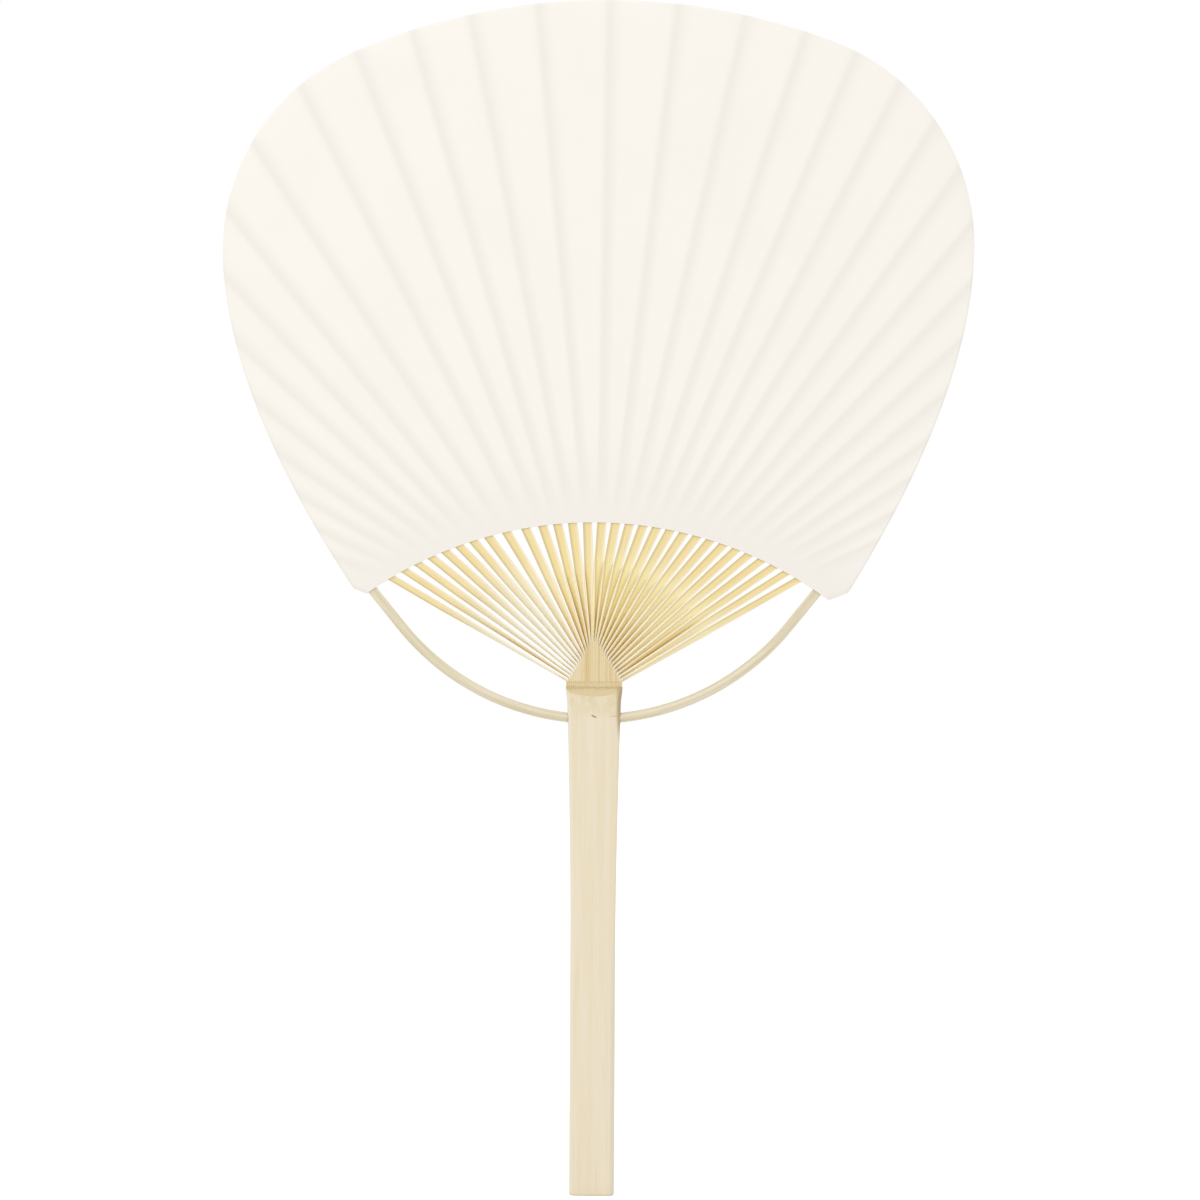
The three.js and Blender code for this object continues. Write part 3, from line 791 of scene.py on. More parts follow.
@dataclass(frozen=True)
class LeafOutline:
    """The leaf's edges in the fan's plane: an arc below, and arcs and a long curve round the outside."""

    top: float = 213.0
    width: float = 233.0
    widest_height: float = 136.4
    top_radius: float = 198.4
    lower_radius: float = 122.8
    lower_rise: float = 51.0
    rib_half_span: float = 66.2
    corner_out: float = 13.4
    corner_run_on: float = 8.0
    corner_cut_left: float = 2.4
    corner_cut_right: float = 4.0
    side_upper_pull: float = 34.0
    side_lower_pull: float = 43.4
    side_end_deg: float = 33.5
    turn_deg: float = 1.5
    shift: float = 4.2
    bearings: np.ndarray = field(init=False, repr=False, compare=False)
    reaches: np.ndarray = field(init=False, repr=False, compare=False)

    def __post_init__(self) -> None:
        """Draws the outer edge once, a little turned and off the handle's line, as reach by bearing."""
        right = self.right_half()
        turn = Matrix.Rotation(math.radians(self.turn_deg), 2)
        whole = [flat(-p.x, p.y) for p in reversed(right[1:])] + right
        points = [turn @ p + flat(self.shift, 0.0) for p in whole]
        object.__setattr__(self, "bearings", np.array([bearing(p) for p in points]))
        object.__setattr__(self, "reaches", np.array([p.length for p in points]))

    @property
    def lower_centre(self) -> float:
        """The height of the lower edge's centre."""
        return self.lower_rise - self.lower_radius

    def corner_bearing(self, side: Side) -> float:
        """The bearing of a blunt corner, cut back from where the outer edge meets the lower one.

        Args:
            side: The corner's side.

        Returns:
            The bearing, in radians.
        """
        inside, outside = self.rib_half_span, self.rib_half_span + self.corner_out + self.corner_run_on
        rounds = 30
        for _ in range(rounds):
            along = (inside + outside) / 2.0
            point = self.lower_edge(side * along)
            if self.outer_reach(bearing(point)) > point.length:
                inside = along
            else:
                outside = along
        cut_back = self.corner_cut_left if side is Side.LEFT else self.corner_cut_right
        return bearing(self.lower_edge(side * (inside - cut_back)))

    def lower_edge(self, along: float, rise: float = 0.0) -> Vector:
        """A point of the lower edge.

        Args:
            along: The distance along the edge from the middle, positive to the right.
            rise: How far the point lies above the edge.

        Returns:
            The flat point.
        """
        turn = along / self.lower_radius
        radius = self.lower_radius + rise
        return flat(radius * math.sin(turn), self.lower_centre + radius * math.cos(turn))

    def right_half(self) -> list[Vector]:
        """The outer edge from the top past the right corner: two arcs, a curve and a straight run-on.

        Returns:
            The edge's flat points, before the leaf's turn and shift.
        """
        half = self.width / 2.0
        centre = self.top - self.top_radius
        rise = self.widest_height - centre
        shoulder = (self.top_radius**2 - half**2 - rise**2) / (2.0 * (self.top_radius - half))
        shoulder_x = half - shoulder
        join = math.atan2(rise, shoulder_x)
        corner = self.lower_edge(self.rib_half_span + self.corner_out)
        lean = math.radians(self.side_end_deg)
        upward = flat(math.sin(lean), math.cos(lean))
        pulls = (
            flat(half, self.widest_height),
            flat(half, self.widest_height - self.side_upper_pull),
            corner + self.side_lower_pull * upward,
            corner,
        )
        steps = 160
        points = []
        for turn in spread(math.pi / 2.0, join, steps):
            points.append(flat(self.top_radius * math.cos(turn), centre + self.top_radius * math.sin(turn)))
        for turn in spread(join, 0.0, steps)[1:]:
            height = self.widest_height + shoulder * math.sin(turn)
            points.append(flat(shoulder_x + shoulder * math.cos(turn), height))
        for t in spread(0.0, 1.0, steps)[1:]:
            weights = ((1 - t) ** 3, 3 * t * (1 - t) ** 2, 3 * t * t * (1 - t), t**3)
            points.append(sum((w * p for w, p in zip(weights, pulls)), flat(0.0, 0.0)))
        points.append(corner - self.corner_run_on * upward)
        return points

    def outer_reach(self, angle: float) -> float:
        """The distance from the seat to the outer edge along a bearing."""
        return float(np.interp(angle, self.bearings, self.reaches))

    def inner_reach(self, angle: float) -> float:
        """The distance from the seat to the lower edge along a bearing."""
        across = self.lower_centre * math.sin(angle)
        return self.lower_centre * math.cos(angle) + math.sqrt(self.lower_radius**2 - across**2)

    def meeting(self, bearing_at: Bearing, reach_at: Callable[[float], float]) -> Vector:
        """Where a line of changing bearing meets an edge.

        Args:
            bearing_at: The line's bearing at a distance from the seat.
            reach_at: The edge's distance from the seat at a bearing.

        Returns:
            The flat point.
        """
        rounds = 5
        angle = bearing_at(self.lower_radius)
        for _ in range(rounds):
            angle = bearing_at(reach_at(angle))
        return polar(angle, reach_at(angle))


@dataclass(frozen=True)
class RibLine:
    """One rib's line: up from the seat, round its knee, straight to the leaf's edge, then on to its tip."""

    name: str
    side: Side
    knee: Vector
    bend: float
    edge_point: Vector
    heading: float
    width: float
    spacing: float
    tone: float
    inwards: float
    bleach: float
    groove_shade: float

    def beside(self, aside: float) -> Bearing:
        """The bearing, by distance from the seat, of a line in the leaf that runs beside the rib.

        Args:
            aside: How far beside the rib's middle it runs, positive to the right.

        Returns:
            The bearing as a function of the distance.
        """
        across = flat(math.cos(self.heading), -math.sin(self.heading))
        offset = self.edge_point.dot(across) + aside
        return lambda distance: self.heading + math.asin(offset / distance)


def strip_tree() -> Tree:
    """A tree that sweeps a thin strip along a guide, turned by "twist" and thickened in X by "swell".

    Returns:
        The tree. Besides the place in the strip it keeps "across", from -1 at the edge that starts at the
        front to 1, for its finish to read.
    """
    tree, given = start_tree("swept_strip", dict.fromkeys(("Width", "Thickness", "Edge round"), "Float"))
    twist, swell = kept_values(tree, "twist", "swell")
    place = add_node(tree, "GeometryNodeInputPosition")[0]
    ahead = add_node(tree, "GeometryNodeInputTangent")[0]
    across = add_node(tree, "ShaderNodeVectorMath", {0: BACKWARDS, 1: ahead}, operation="CROSS_PRODUCT")[0]
    cosine = add_node(tree, "ShaderNodeMath", {0: twist}, operation="COSINE")[0]
    sine = add_node(tree, "ShaderNodeMath", {0: twist}, operation="SINE")[0]
    deep = add_node(tree, "ShaderNodeVectorMath", {0: BACKWARDS, "Scale": cosine}, operation="SCALE")[0]
    aside = add_node(tree, "ShaderNodeVectorMath", {0: across, "Scale": sine}, operation="SCALE")[0]
    wide = add_node(tree, "ShaderNodeVectorMath", {0: deep, 1: aside}, operation="ADD")[0]
    sizes = {"Width": given["Width"], "Height": given["Thickness"]}
    blank = add_node(tree, "GeometryNodeCurvePrimitiveQuadrilateral", sizes)[0]
    rounding = {"Curve": blank, "Count": 2, "Radius": given["Edge round"], "Limit Radius": True}
    section = add_node(tree, "GeometryNodeFilletCurve", rounding, mode="POLY")[0]
    off_middle = add_node(tree, "ShaderNodeSeparateXYZ", {"Vector": place})["X"]
    half = product(tree, given["Width"], 0.5)
    part = add_node(tree, "ShaderNodeMath", {0: off_middle, 1: half}, operation="DIVIDE")[0]
    line = keep_values(tree, given["Guide"], {"middle": place})
    strip = sweep(tree, line, wide, keep_values(tree, section, {"across": part}))
    middle = kept_values(tree, "middle", vector=True)[0]
    sideways = add_node(tree, "ShaderNodeCombineXYZ", {"X": swell})[0]
    from_middle = add_node(tree, "ShaderNodeVectorMath", {0: place, 1: middle}, operation="SUBTRACT")[0]
    growth = add_node(tree, "ShaderNodeVectorMath", {0: from_middle, 1: sideways}, operation="MULTIPLY")[0]
    end_tree(tree, given, add_node(tree, "GeometryNodeSetPosition", {"Geometry": strip, "Offset": growth})[0])
    return tree


@dataclass
class RibFan:
    """The ribs: the handle's strip, split into slats that fan out and twist from edge-on to flat."""

    outline: LeafOutline
    node_width: float = 17.6
    left_count: int = 14
    right_count: int = 16
    crown_inset: float = 0.1
    split_gap: float = 0.1
    hair_gap: float = 0.015
    seat_gap: float = 0.05
    width_middle: float = 2.9
    width_outer: float = 2.1
    crown_foot: float = 0.9
    crown_height: float = 13.4
    bend_middle: float = 1.2
    bend_outer: float = 0.6
    left_loose_gap: float = 3.4
    tip_spread: float = 1.8
    tip_spread_run: float = 9.0
    tip_shift: float = 0.7
    tip_setback: float = 1.5
    edge_round: float = 0.09
    flatten_run: float = 7.0
    loose_fill: float = 0.62
    shut_near: float = 0.14
    shut_far: float = 0.05
    shut_span: Span = (0.1, 0.5)
    knee_points: int = 9
    free_points: int = 25
    paper_points: int = 21
    paper_easing: float = 1.7
    # How the finish changes across the fan. Spans are shares of the way from the left rib to the right one.
    inward_span: Span = (0.08, 0.32)
    last_span: Span = (0.88, 1.0)
    last_loss: float = 0.7
    own_tone_share: float = 0.3
    own_tone_step: float = 2.4
    bleach_left: float = 0.6
    bleach_left_span: Span = (0.2, 0.36)
    bleach_right: float = 0.2
    bleach_right_span: Span = (0.62, 0.75)
    # How much painted shade lies in the grooves between the ribs, across the fan.
    groove_shade_share: float = 0.6
    groove_shade_from: Span = (0.22, 0.38)
    groove_shade_to: Span = (0.78, 0.92)
    # How it changes along a rib. Reaches, starts and ends are distances from the middle of the seat.
    crown_fade: float = 3.0
    fresh_reach: Span = (34.0, 46.0)
    fresh_left: float = 0.25
    groove_shade_reach: Span = (14.0, 30.0)
    # How strong the painted highlight on each rib's right edge is, by distance from the seat.
    highlight_low: float = 0.3
    highlight_start: Span = (17.0, 30.0)
    highlight_far: float = 0.5
    highlight_end: Span = (36.0, 56.0)
    ripe_gain: float = 0.8
    ripe_reach: Span = (34.0, 58.0)
    bleach_reach: Span = (24.0, 50.0)
    split_start: float = 16.0
    # Ribs with stronger painted shade in the grooves beside them: each one's name, how much, and how far from
    # the seat.
    groove_shade_ribs: tuple[tuple[str, float, float], ...] = (
        ("rib_left_13", 1.0, 52.0),
        ("rib_left_04", 0.5, 30.0),
        ("rib_left_03", 0.8, 34.0),
        ("rib_right_01", 0.6, 34.0),
        ("rib_right_09", 0.5, 30.0),
        ("rib_right_10", 0.5, 30.0),
        ("rib_right_14", 1.0, 50.0),
    )
    lines: list[RibLine] = field(init=False)

    def __post_init__(self) -> None:
        """Lays out every rib, from left to right."""
        self.lines = [self.plan(order) for order in range(self.count)]

    @property
    def count(self) -> int:
        """How many ribs there are."""
        return self.left_count + self.right_count

    @property
    def crown_width(self) -> float:
        """The width of the split strip on its seat."""
        return self.node_width - 2.0 * self.crown_inset

    @property
    def pitch(self) -> float:
        """The distance between neighbouring ribs on their seat."""
        return self.crown_width / self.count

    @property
    def thickness(self) -> float:
        """A rib's thickness."""
        return self.pitch - self.split_gap

    def edge_pitch(self, side: Side) -> float:
        """The usual distance between neighbouring ribs at the leaf's lower edge.

        Args:
            side: The ribs' side.

        Returns:
            The distance, in millimetres.
        """
        count = self.left_count if side is Side.LEFT else self.right_count
        loose = self.left_loose_gap if side is Side.LEFT else 0.0
        return (self.outline.rib_half_span - loose) / (count - 0.5)

    def along_edge(self, side: Side, number: int) -> float:
        """Where a rib passes under the lower edge.

        Args:
            side: The rib's side.
            number: Its number from the middle, from 1.

        Returns:
            The distance along the edge from the middle, positive to the right.
        """
        steady = (number - 0.5) * self.edge_pitch(side)
        if side is Side.RIGHT:
            return steady
        loose_from, loose_to = 0.23, 0.5
        loosened = smoothstep((number - 1) / (self.left_count - 1), loose_from, loose_to)
        return -(steady + self.left_loose_gap * loosened)

    def plan(self, order: int) -> RibLine:
        """Lays out one rib.

        Args:
            order: The rib's place from the left, from 0.

        Returns:
            The rib's line.
        """
        side = Side.LEFT if order < self.left_count else Side.RIGHT
        number = self.left_count - order if side is Side.LEFT else order - self.left_count + 1
        count = self.left_count if side is Side.LEFT else self.right_count
        along = self.along_edge(side, number)
        root_x = (order - (self.count - 1) / 2.0) * self.pitch
        crown_share = 1.0 - abs(root_x) / (self.crown_width / 2.0)
        bend = lerp(self.bend_outer, self.bend_middle, crown_share)
        edge_point = self.outline.lower_edge(along)
        opened = self.tip_spread * clamp((along - self.outline.shift) / self.tip_spread_run, -1.0, 1.0)
        tip_angle = bearing(self.outline.lower_edge(along + opened - self.tip_shift))
        heading = bearing(polar(tip_angle, self.outline.outer_reach(tip_angle)) - edge_point)
        place = order / (self.count - 1)
        inwards = smoothstep(place, *self.inward_span)
        ground_tone = inwards * (1.0 - self.last_loss * smoothstep(place, *self.last_span))
        own_tone = 0.5 + 0.5 * math.sin(self.own_tone_step * order * order)
        bleach_left = self.bleach_left * fall(place, *self.bleach_left_span)
        bleach_right = self.bleach_right * smoothstep(place, *self.bleach_right_span)
        return RibLine(
            name=f"rib_{side.name.lower()}_{number:02d}",
            side=side,
            knee=flat(root_x, self.seat_gap + self.crown_foot + bend + self.crown_height * crown_share),
            bend=bend,
            edge_point=edge_point,
            heading=heading,
            width=lerp(self.width_middle, self.width_outer, (number / count) ** 2),
            spacing=self.edge_pitch(side) * math.cos(heading - along / self.outline.lower_radius),
            tone=lerp(ground_tone, own_tone, self.own_tone_share),
            inwards=inwards,
            bleach=bleach_left + bleach_right,
            groove_shade=self.groove_shade_share * smoothstep(place, *self.groove_shade_from) * fall(place, *self.groove_shade_to),
        )

    def twist(self, line: RibLine, share: float) -> float:
        """How far a rib has turned from edge-on, as far as the room between its neighbours lets it.

        Args:
            line: The rib's line.
            share: How far along from the knee to the leaf, from 0 to 1.

        Returns:
            The turn, in radians.
        """
        out = (line.edge_point - line.knee).normalized()
        knee_step = self.crown_height * self.pitch / (self.crown_width / 2.0)
        knee_spacing = self.pitch * out.y + knee_step * abs(out.x)
        room = lerp(knee_spacing, line.spacing, share) - self.pitch
        fill = lerp(lerp(self.loose_fill, 1.0, line.inwards), 1.0, share**3)
        shut = lerp(self.shut_near, self.shut_far, smoothstep(share, *self.shut_span))
        shown = self.thickness + fill * room + shut * line.inwards
        diagonal = math.hypot(line.width, self.thickness)
        lean = math.atan2(self.thickness, line.width) * (1.0 - share**3)
        return line.side * (math.asin(clamp(shown / diagonal, 0.0, 1.0)) - lean)

    def stations(self, line: RibLine) -> tuple[list[Vector], list[float]]:
        """The points that a rib passes through, and its twist at each.

        Args:
            line: The rib's line.

        Returns:
            The flat points and the twists, in radians.
        """
        out = (line.edge_point - line.knee).normalized()
        start = line.knee - flat(0.0, line.bend)
        end = line.knee + line.bend * out
        points = [flat(line.knee.x, self.seat_gap)]
        if start.y > self.seat_gap + self.split_gap:
            points.append(start)
        twists = [0.0] * len(points)
        shares = spread(0.0, 1.0, self.knee_points)[1:]
        points += rounded(start, line.knee, end, shares)
        twists += [share * self.twist(line, 0.0) for share in shares]
        for share in spread(0.0, 1.0, self.free_points)[1:]:
            points.append(end.lerp(line.edge_point, share))
            twists.append(self.twist(line, share))
        onward = polar(line.heading, 1.0)
        reach = min(self.tip_distance(line, aside) for aside in (-line.width / 2.0, 0.0, line.width / 2.0))
        edge_twist = twists[-1]
        for share in spread(0.0, 1.0, self.paper_points)[1:]:
            beyond = reach * share**self.paper_easing
            points.append(line.edge_point + beyond * onward)
            flattened = smoothstep(beyond, 0.0, self.flatten_run)
            twists.append(lerp(edge_twist, line.side * math.pi / 2.0, flattened))
        return points, twists

    def tip_distance(self, line: RibLine, aside: float) -> float:
        """How far past the lower edge a line beside a rib runs before it nears the leaf's outer edge.

        Args:
            line: The rib's line.
            aside: How far beside the rib's middle the other line runs.

        Returns:
            The distance along the rib.
        """
        tip = self.outline.meeting(
            line.beside(aside), lambda angle: self.outline.outer_reach(angle) - self.tip_setback
        )
        return (tip - line.edge_point).dot(polar(line.heading, 1.0))

    def marks(self, line: RibLine, point: Vector) -> dict[str, float]:
        """What a rib's finish and its swelling read at one of its points.

        Args:
            line: The rib's line.
            point: The flat point.

        Returns:
            The numbers, by attribute name.
        """
        knee, away = line.knee.y, point.length
        fresh = self.fresh_left if line.side is Side.LEFT else line.tone
        own_shaded_ribs = [shaded_rib[1:] for shaded_rib in self.groove_shade_ribs if shaded_rib[0] == line.name]
        shaded_ribs = [weight * fall(away, self.split_start, end) for weight, end in own_shaded_ribs]
        swell = (self.split_gap - self.hair_gap) / self.thickness
        rim = lerp(self.highlight_low, 1.0, smoothstep(away, *self.highlight_start))
        return {
            "swell": swell * fall(point.y, knee - line.bend, knee),
            "crown": fall(point.y, knee, knee + self.crown_fade),
            "side": float(line.side),
            "tone": line.tone,
            "ripe": lerp(line.tone, 1.0, self.ripe_gain * smoothstep(away, *self.ripe_reach)),
            "fresh": fresh * fall(away, *self.fresh_reach),
            "bleached": line.bleach * fall(away, *self.bleach_reach),
            "groove_shade": max([line.groove_shade * fall(away, *self.groove_shade_reach), *shaded_ribs]),
            # The rim value carries the strength of the painted highlight on the rib's right edge.
            "rim": rim * lerp(1.0, self.highlight_far, smoothstep(away, *self.highlight_end)),
        }

    def build(self, tree: Tree, finish: Material) -> None:
        """Sweeps every rib and puts it in its node's place.

        Args:
            tree: The tree that sweeps a strip.
            finish: The ribs' finish.
        """
        for line in self.lines:
            points, twists = self.stations(line)
            rows = [self.marks(line, point) for point in points]
            marks = {name: [row[name] for row in rows] for name in rows[0]}
            guide = guide_line(line.name, [in_space(point) for point in points], {"twist": twists, **marks})
            sizes = {
                "Width": line.width * MM,
                "Thickness": self.thickness * MM,
                "Edge round": self.edge_round * MM,
                "Finish": finish,
            }
            seat(grow(tree, guide, f"bamboo_{line.name}", sizes), line.name)


def rod_tree() -> Tree:
    """A tree that sweeps a round rod along a guide, thinned by "girth" and pared in depth by "paring".

    Returns:
        The tree. It keeps the place in the rod for its finish to read.
    """
    tree, given = start_tree("swept_rod", {"Diameter": "Float", "Sides": "Int"})
    girth, paring = kept_values(tree, "girth", "paring")
    circle = {"Resolution": given["Sides"], "Radius": product(tree, given["Diameter"], 0.5)}
    section = add_node(tree, "GeometryNodeCurvePrimitiveCircle", circle, mode="RADIUS")[0]
    rod = sweep(tree, given["Guide"], BACKWARDS, section, girth)
    place = add_node(tree, "GeometryNodeInputPosition")[0]
    thinning = add_node(tree, "ShaderNodeCombineXYZ", {"X": 1.0, "Y": paring, "Z": 1.0})[0]
    pared = add_node(tree, "ShaderNodeVectorMath", {0: place, 1: thinning}, operation="MULTIPLY")[0]
    end_tree(tree, given, add_node(tree, "GeometryNodeSetPosition", {"Geometry": rod, "Position": pared})[0])
    return tree


@dataclass
class Bow:
    """The bow: a round rod through the handle's neck, bent in an arc, its pared ends between the papers."""

    outline: LeafOutline
    pared_depth: float
    diameter: float = 3.0
    drop: float = 9.9
    entry_out: float = 7.0
    end_deg: float = 51.0
    tuck: float = 5.0
    paring_run: float = 14.0
    thin_lead: float = 1.5
    tip_length: float = 1.6
    tip_share: float = 0.6
    clearance: float = 0.12
    sides: int = 24
    tip_points: int = 5
    arc_points: int = 141

    def __post_init__(self) -> None:
        """Fits the arc and its straight ends to where the bow goes under the paper."""
        self.entry = self.outline.lower_edge(self.outline.rib_half_span + self.entry_out)
        turn = math.radians(self.end_deg)
        self.end_turn = turn
        rise = self.entry.y + self.drop
        self.radius = (self.entry.x * math.sin(turn) - rise * math.cos(turn)) / (1.0 - math.cos(turn))
        straight = (self.entry.x - self.radius * math.sin(turn)) / math.cos(turn)
        self.to_entry = self.radius * turn + straight

    def point(self, distance: float) -> Vector:
        """A point of the bow.

        Args:
            distance: The distance along the bow from its middle, positive to the right.

        Returns:
            The flat point.
        """
        turned = min(abs(distance) / self.radius, self.end_turn)
        beyond = abs(distance) - turned * self.radius
        x = self.radius * math.sin(turned) + beyond * math.cos(turned)
        rise = self.radius * (1.0 - math.cos(turned)) + beyond * math.sin(turned)
        return flat(math.copysign(x, distance), rise - self.drop)

    def caught(self, rise: float) -> Vector:
        """The right end's flat point at a distance beyond the paper's edge."""
        return self.point(self.to_entry + rise)

    def build(self, tree: Tree, finish: Material) -> None:
        """Sweeps the bow and puts it in its node's place.

        Args:
            tree: The tree that sweeps a rod.
            finish: The bow's finish.
        """
        end = self.to_entry + self.tuck
        tip = end - self.tip_length
        distances = spread(-self.to_entry, self.to_entry, self.arc_points)
        distances = spread(-end, -tip, self.tip_points) + distances + spread(tip, end, self.tip_points)
        girths, parings = [], []
        for distance in distances:
            outside = self.to_entry - abs(distance) - self.thin_lead
            pared = lerp(self.pared_depth, self.diameter, smoothstep(outside, 0.0, self.paring_run))
            to_tip = (end - abs(distance)) / self.tip_length
            girth = lerp(self.tip_share, 1.0, math.sqrt(clamp(to_tip, 0.0, 1.0)))
            girths.append(girth)
            parings.append(pared / self.diameter)
        places = [in_space(self.point(distance)) for distance in distances]
        guide = guide_line("bow_line", places, {"girth": girths, "paring": parings})
        sizes = {"Diameter": self.diameter * MM, "Sides": self.sides, "Finish": finish}
        seat(grow(tree, guide, "bamboo_bow", sizes), "bow")


@dataclass
class Lacing:
    """The lacing: a flattened thread woven before and behind the ribs, caught on the ends of the bow."""

    ribs: RibFan
    bow: Bow
    thickness: float = 0.15
    width: float = 0.6
    rise: float = 3.5
    glue_gap: float = 0.06
    slack_share: float = 0.28
    edge_round: float = 0.06

    @property
    def depth(self) -> float:
        """How far before or behind the ribs the thread's middle lies."""
        return self.ribs.thickness / 2.0 + self.glue_gap + self.thickness / 2.0

    def crossings(self) -> list[tuple[float, float]]:
        """The thread's crossings from left to right.

        Returns:
            Each one's turn about the lower edge's centre and its half-width, both in radians.
        """
        outline = self.ribs.outline
        centre = flat(0.0, outline.lower_centre)
        radius = outline.lower_radius + self.rise
        found = []
        for line in self.ribs.lines:
            point = outline.meeting(line.beside(0.0), lambda angle: outline.inner_reach(angle) + self.rise)
            turn = bearing(point - centre)
            found.append((turn, line.width / 2.0 / math.cos(line.heading - turn) / radius))
        end = bearing(self.bow.caught(self.rise) - centre)
        half = self.bow.diameter / 2.0 / radius
        return [(-end, half), *found, (end, half)]

    def build(self, tree: Tree, finish: Material) -> None:
        """Sweeps the thread and puts it in its node's place.

        Args:
            tree: The tree that sweeps a strip.
            finish: The thread's finish.
        """
        outline = self.ribs.outline
        crossings = self.crossings()
        places = []
        for order, (turn, half) in enumerate(crossings):
            depth = self.depth * (1.0 if order % 2 == 0 else -1.0)
            for step in (-1, 1):
                other = order + step
                room = 0.0
                if 0 <= other < len(crossings):
                    room = abs(crossings[other][0] - turn) - crossings[other][1] - half
                along = (turn + step * (half + self.slack_share * room)) * outline.lower_radius
                places.append(in_space(outline.lower_edge(along, self.rise), depth))
        guide = guide_line("lacing_line", places, {"twist": [math.pi / 2.0] * len(places)})
        sizes = {
            "Width": self.width * MM,
            "Thickness": self.thickness * MM,
            "Edge round": self.edge_round * MM,
            "Finish": finish,
        }
        seat(grow(tree, guide, "woven_lacing", sizes), "lacing_thread")


def leaf_tree() -> Tree:
    """A tree that rules a sheet of paper between two rails, pressed down between the ribs and along its rim.

    The guide's first points are the lower rail and the rest the outer rail, one of each for every column.

    Returns:
        The tree. It keeps "rib_shade" and "from_hem" for its finish to read.
    """
    row_easing, rim_shut, weld = 1.4, 0.04, 0.001 * MM
    sizes = dict.fromkeys(("Columns", "Rows", "Rim rows"), "Int")
    sizes |= dict.fromkeys(("Face", "Paper", "Over rib", "Between ribs", "Hem", "Hem fade", "Rim"), "Float")
    tree, given = start_tree("ruled_leaf", sizes)
    index = add_node(tree, "GeometryNodeInputIndex")[0]
    column, row = (
        add_node(tree, "FunctionNodeIntegerMath", {0: index, 1: given["Rows"]}, operation=operation)[0]
        for operation in ("DIVIDE_FLOOR", "MODULO")
    )
    opposite = add_node(tree, "FunctionNodeIntegerMath", {0: column, 1: given["Columns"]}, operation="ADD")[0]
    place = add_node(tree, "GeometryNodeInputPosition")[0]
    marks = kept_values(tree, "over_rib", "shade", "open")
    rails = []
    for value, at in ((place, column), (place, opposite), *((mark, column) for mark in marks)):
        sample = {"Geometry": given["Guide"], "Value": value, "Index": at}
        rails += [add_node(tree, "GeometryNodeSampleIndex", sample, data_type=value_kind(value))[0]]
    low, high, over_rib, shade, opened = rails
    reach = add_node(tree, "ShaderNodeVectorMath", {0: low, 1: high}, operation="DISTANCE")["Value"]

    # Each step of the sum: its name, the operation, and two steps, inputs or numbers. A share is clamped.
    sums: dict[str, Socket] = {"row": row, "reach": reach, "over rib": over_rib}
    sums |= {name: given[name] for name in sizes}
    for name, operation, a, b in (
        ("last row", "SUBTRACT", "Rows", 1.0),
        ("field rows", "SUBTRACT", "last row", "Rim rows"),
        ("field share", "DIVIDE", "row", "field rows"),
        ("rim row", "SUBTRACT", "row", "field rows"),
        ("rim share", "DIVIDE", "rim row", "Rim rows"),
        ("eased", "POWER", "field share", row_easing),
        ("field", "SUBTRACT", "reach", "Rim"),
        ("up field", "MULTIPLY", "field", "eased"),
        ("up rim", "MULTIPLY", "Rim", "rim share"),
        ("from hem", "ADD", "up field", "up rim"),
        ("way up", "DIVIDE", "from hem", "reach"),
        ("hem end", "ADD", "Hem", "Hem fade"),
        ("off rib", "SUBTRACT", 1.0, "over rib"),
        ("ridge", "SUBTRACT", "Over rib", "Between ribs"),
    ):
        terms = {0: sums.get(a, a), 1: sums.get(b, b)}
        limited = name.endswith("share")
        sums[name] = add_node(tree, "ShaderNodeMath", terms, operation=operation, use_clamp=limited)[0]
    beyond_hem = Fade(sums["from hem"], (given["Hem"], sums["hem end"]))
    sink = product(tree, sums["off rib"], beyond_hem, sums["ridge"])
    lying = add_node(tree, "ShaderNodeMath", {0: given["Over rib"], 1: sink}, operation="SUBTRACT")[0]
    pressed = Fade(sums["rim share"], (0.0, 1.0), (1.0, rim_shut))
    depth = product(tree, lying, pressed, opened, given["Face"])
    deep = add_node(tree, "ShaderNodeCombineXYZ", {"Y": depth})[0]

    ruled = {0: sums["way up"], MIX_LOW: low, MIX_HIGH: high}
    mixed = add_node(tree, "ShaderNodeMix", ruled, data_type="VECTOR")[MIX_POINT]
    surface = add_node(tree, "ShaderNodeVectorMath", {0: mixed, 1: deep}, operation="ADD")[0]
    grid = {"Vertices X": given["Columns"], "Vertices Y": given["Rows"]}
    sheet = add_node(tree, "GeometryNodeMeshGrid", grid)["Mesh"]
    laid = add_node(tree, "GeometryNodeSetPosition", {"Geometry": sheet, "Position": surface})[0]
    inner = keep_values(tree, laid, {"rib_shade": shade, "from_hem": sums["from hem"]})
    thick = add_node(tree, "ShaderNodeCombineXYZ", {"Y": product(tree, given["Paper"], given["Face"])})[0]
    skin = {"Mesh": inner, "Offset": thick, "Offset Scale": 1.0, "Individual": False}
    outer = add_node(tree, "GeometryNodeExtrudeMesh", skin, mode="FACES")["Mesh"]
    turned = add_node(tree, "GeometryNodeFlipFaces", {"Mesh": inner})[0]
    both = add_node(tree, "GeometryNodeJoinGeometry", {"Geometry": outer})[0]
    tree.links.new(turned, both.node.inputs[0])
    merged = add_node(tree, "GeometryNodeMergeByDistance", {"Geometry": both, "Distance": weld})[0]
    end_tree(tree, given, merged)
    return tree


@dataclass(frozen=True)
class Column:
    """One line of the leaf, from its lower edge to its outer edge."""

    bearing_at: Bearing
    over_rib: float = 0.0
    shade: float = 0.0
    open: float = 1.0


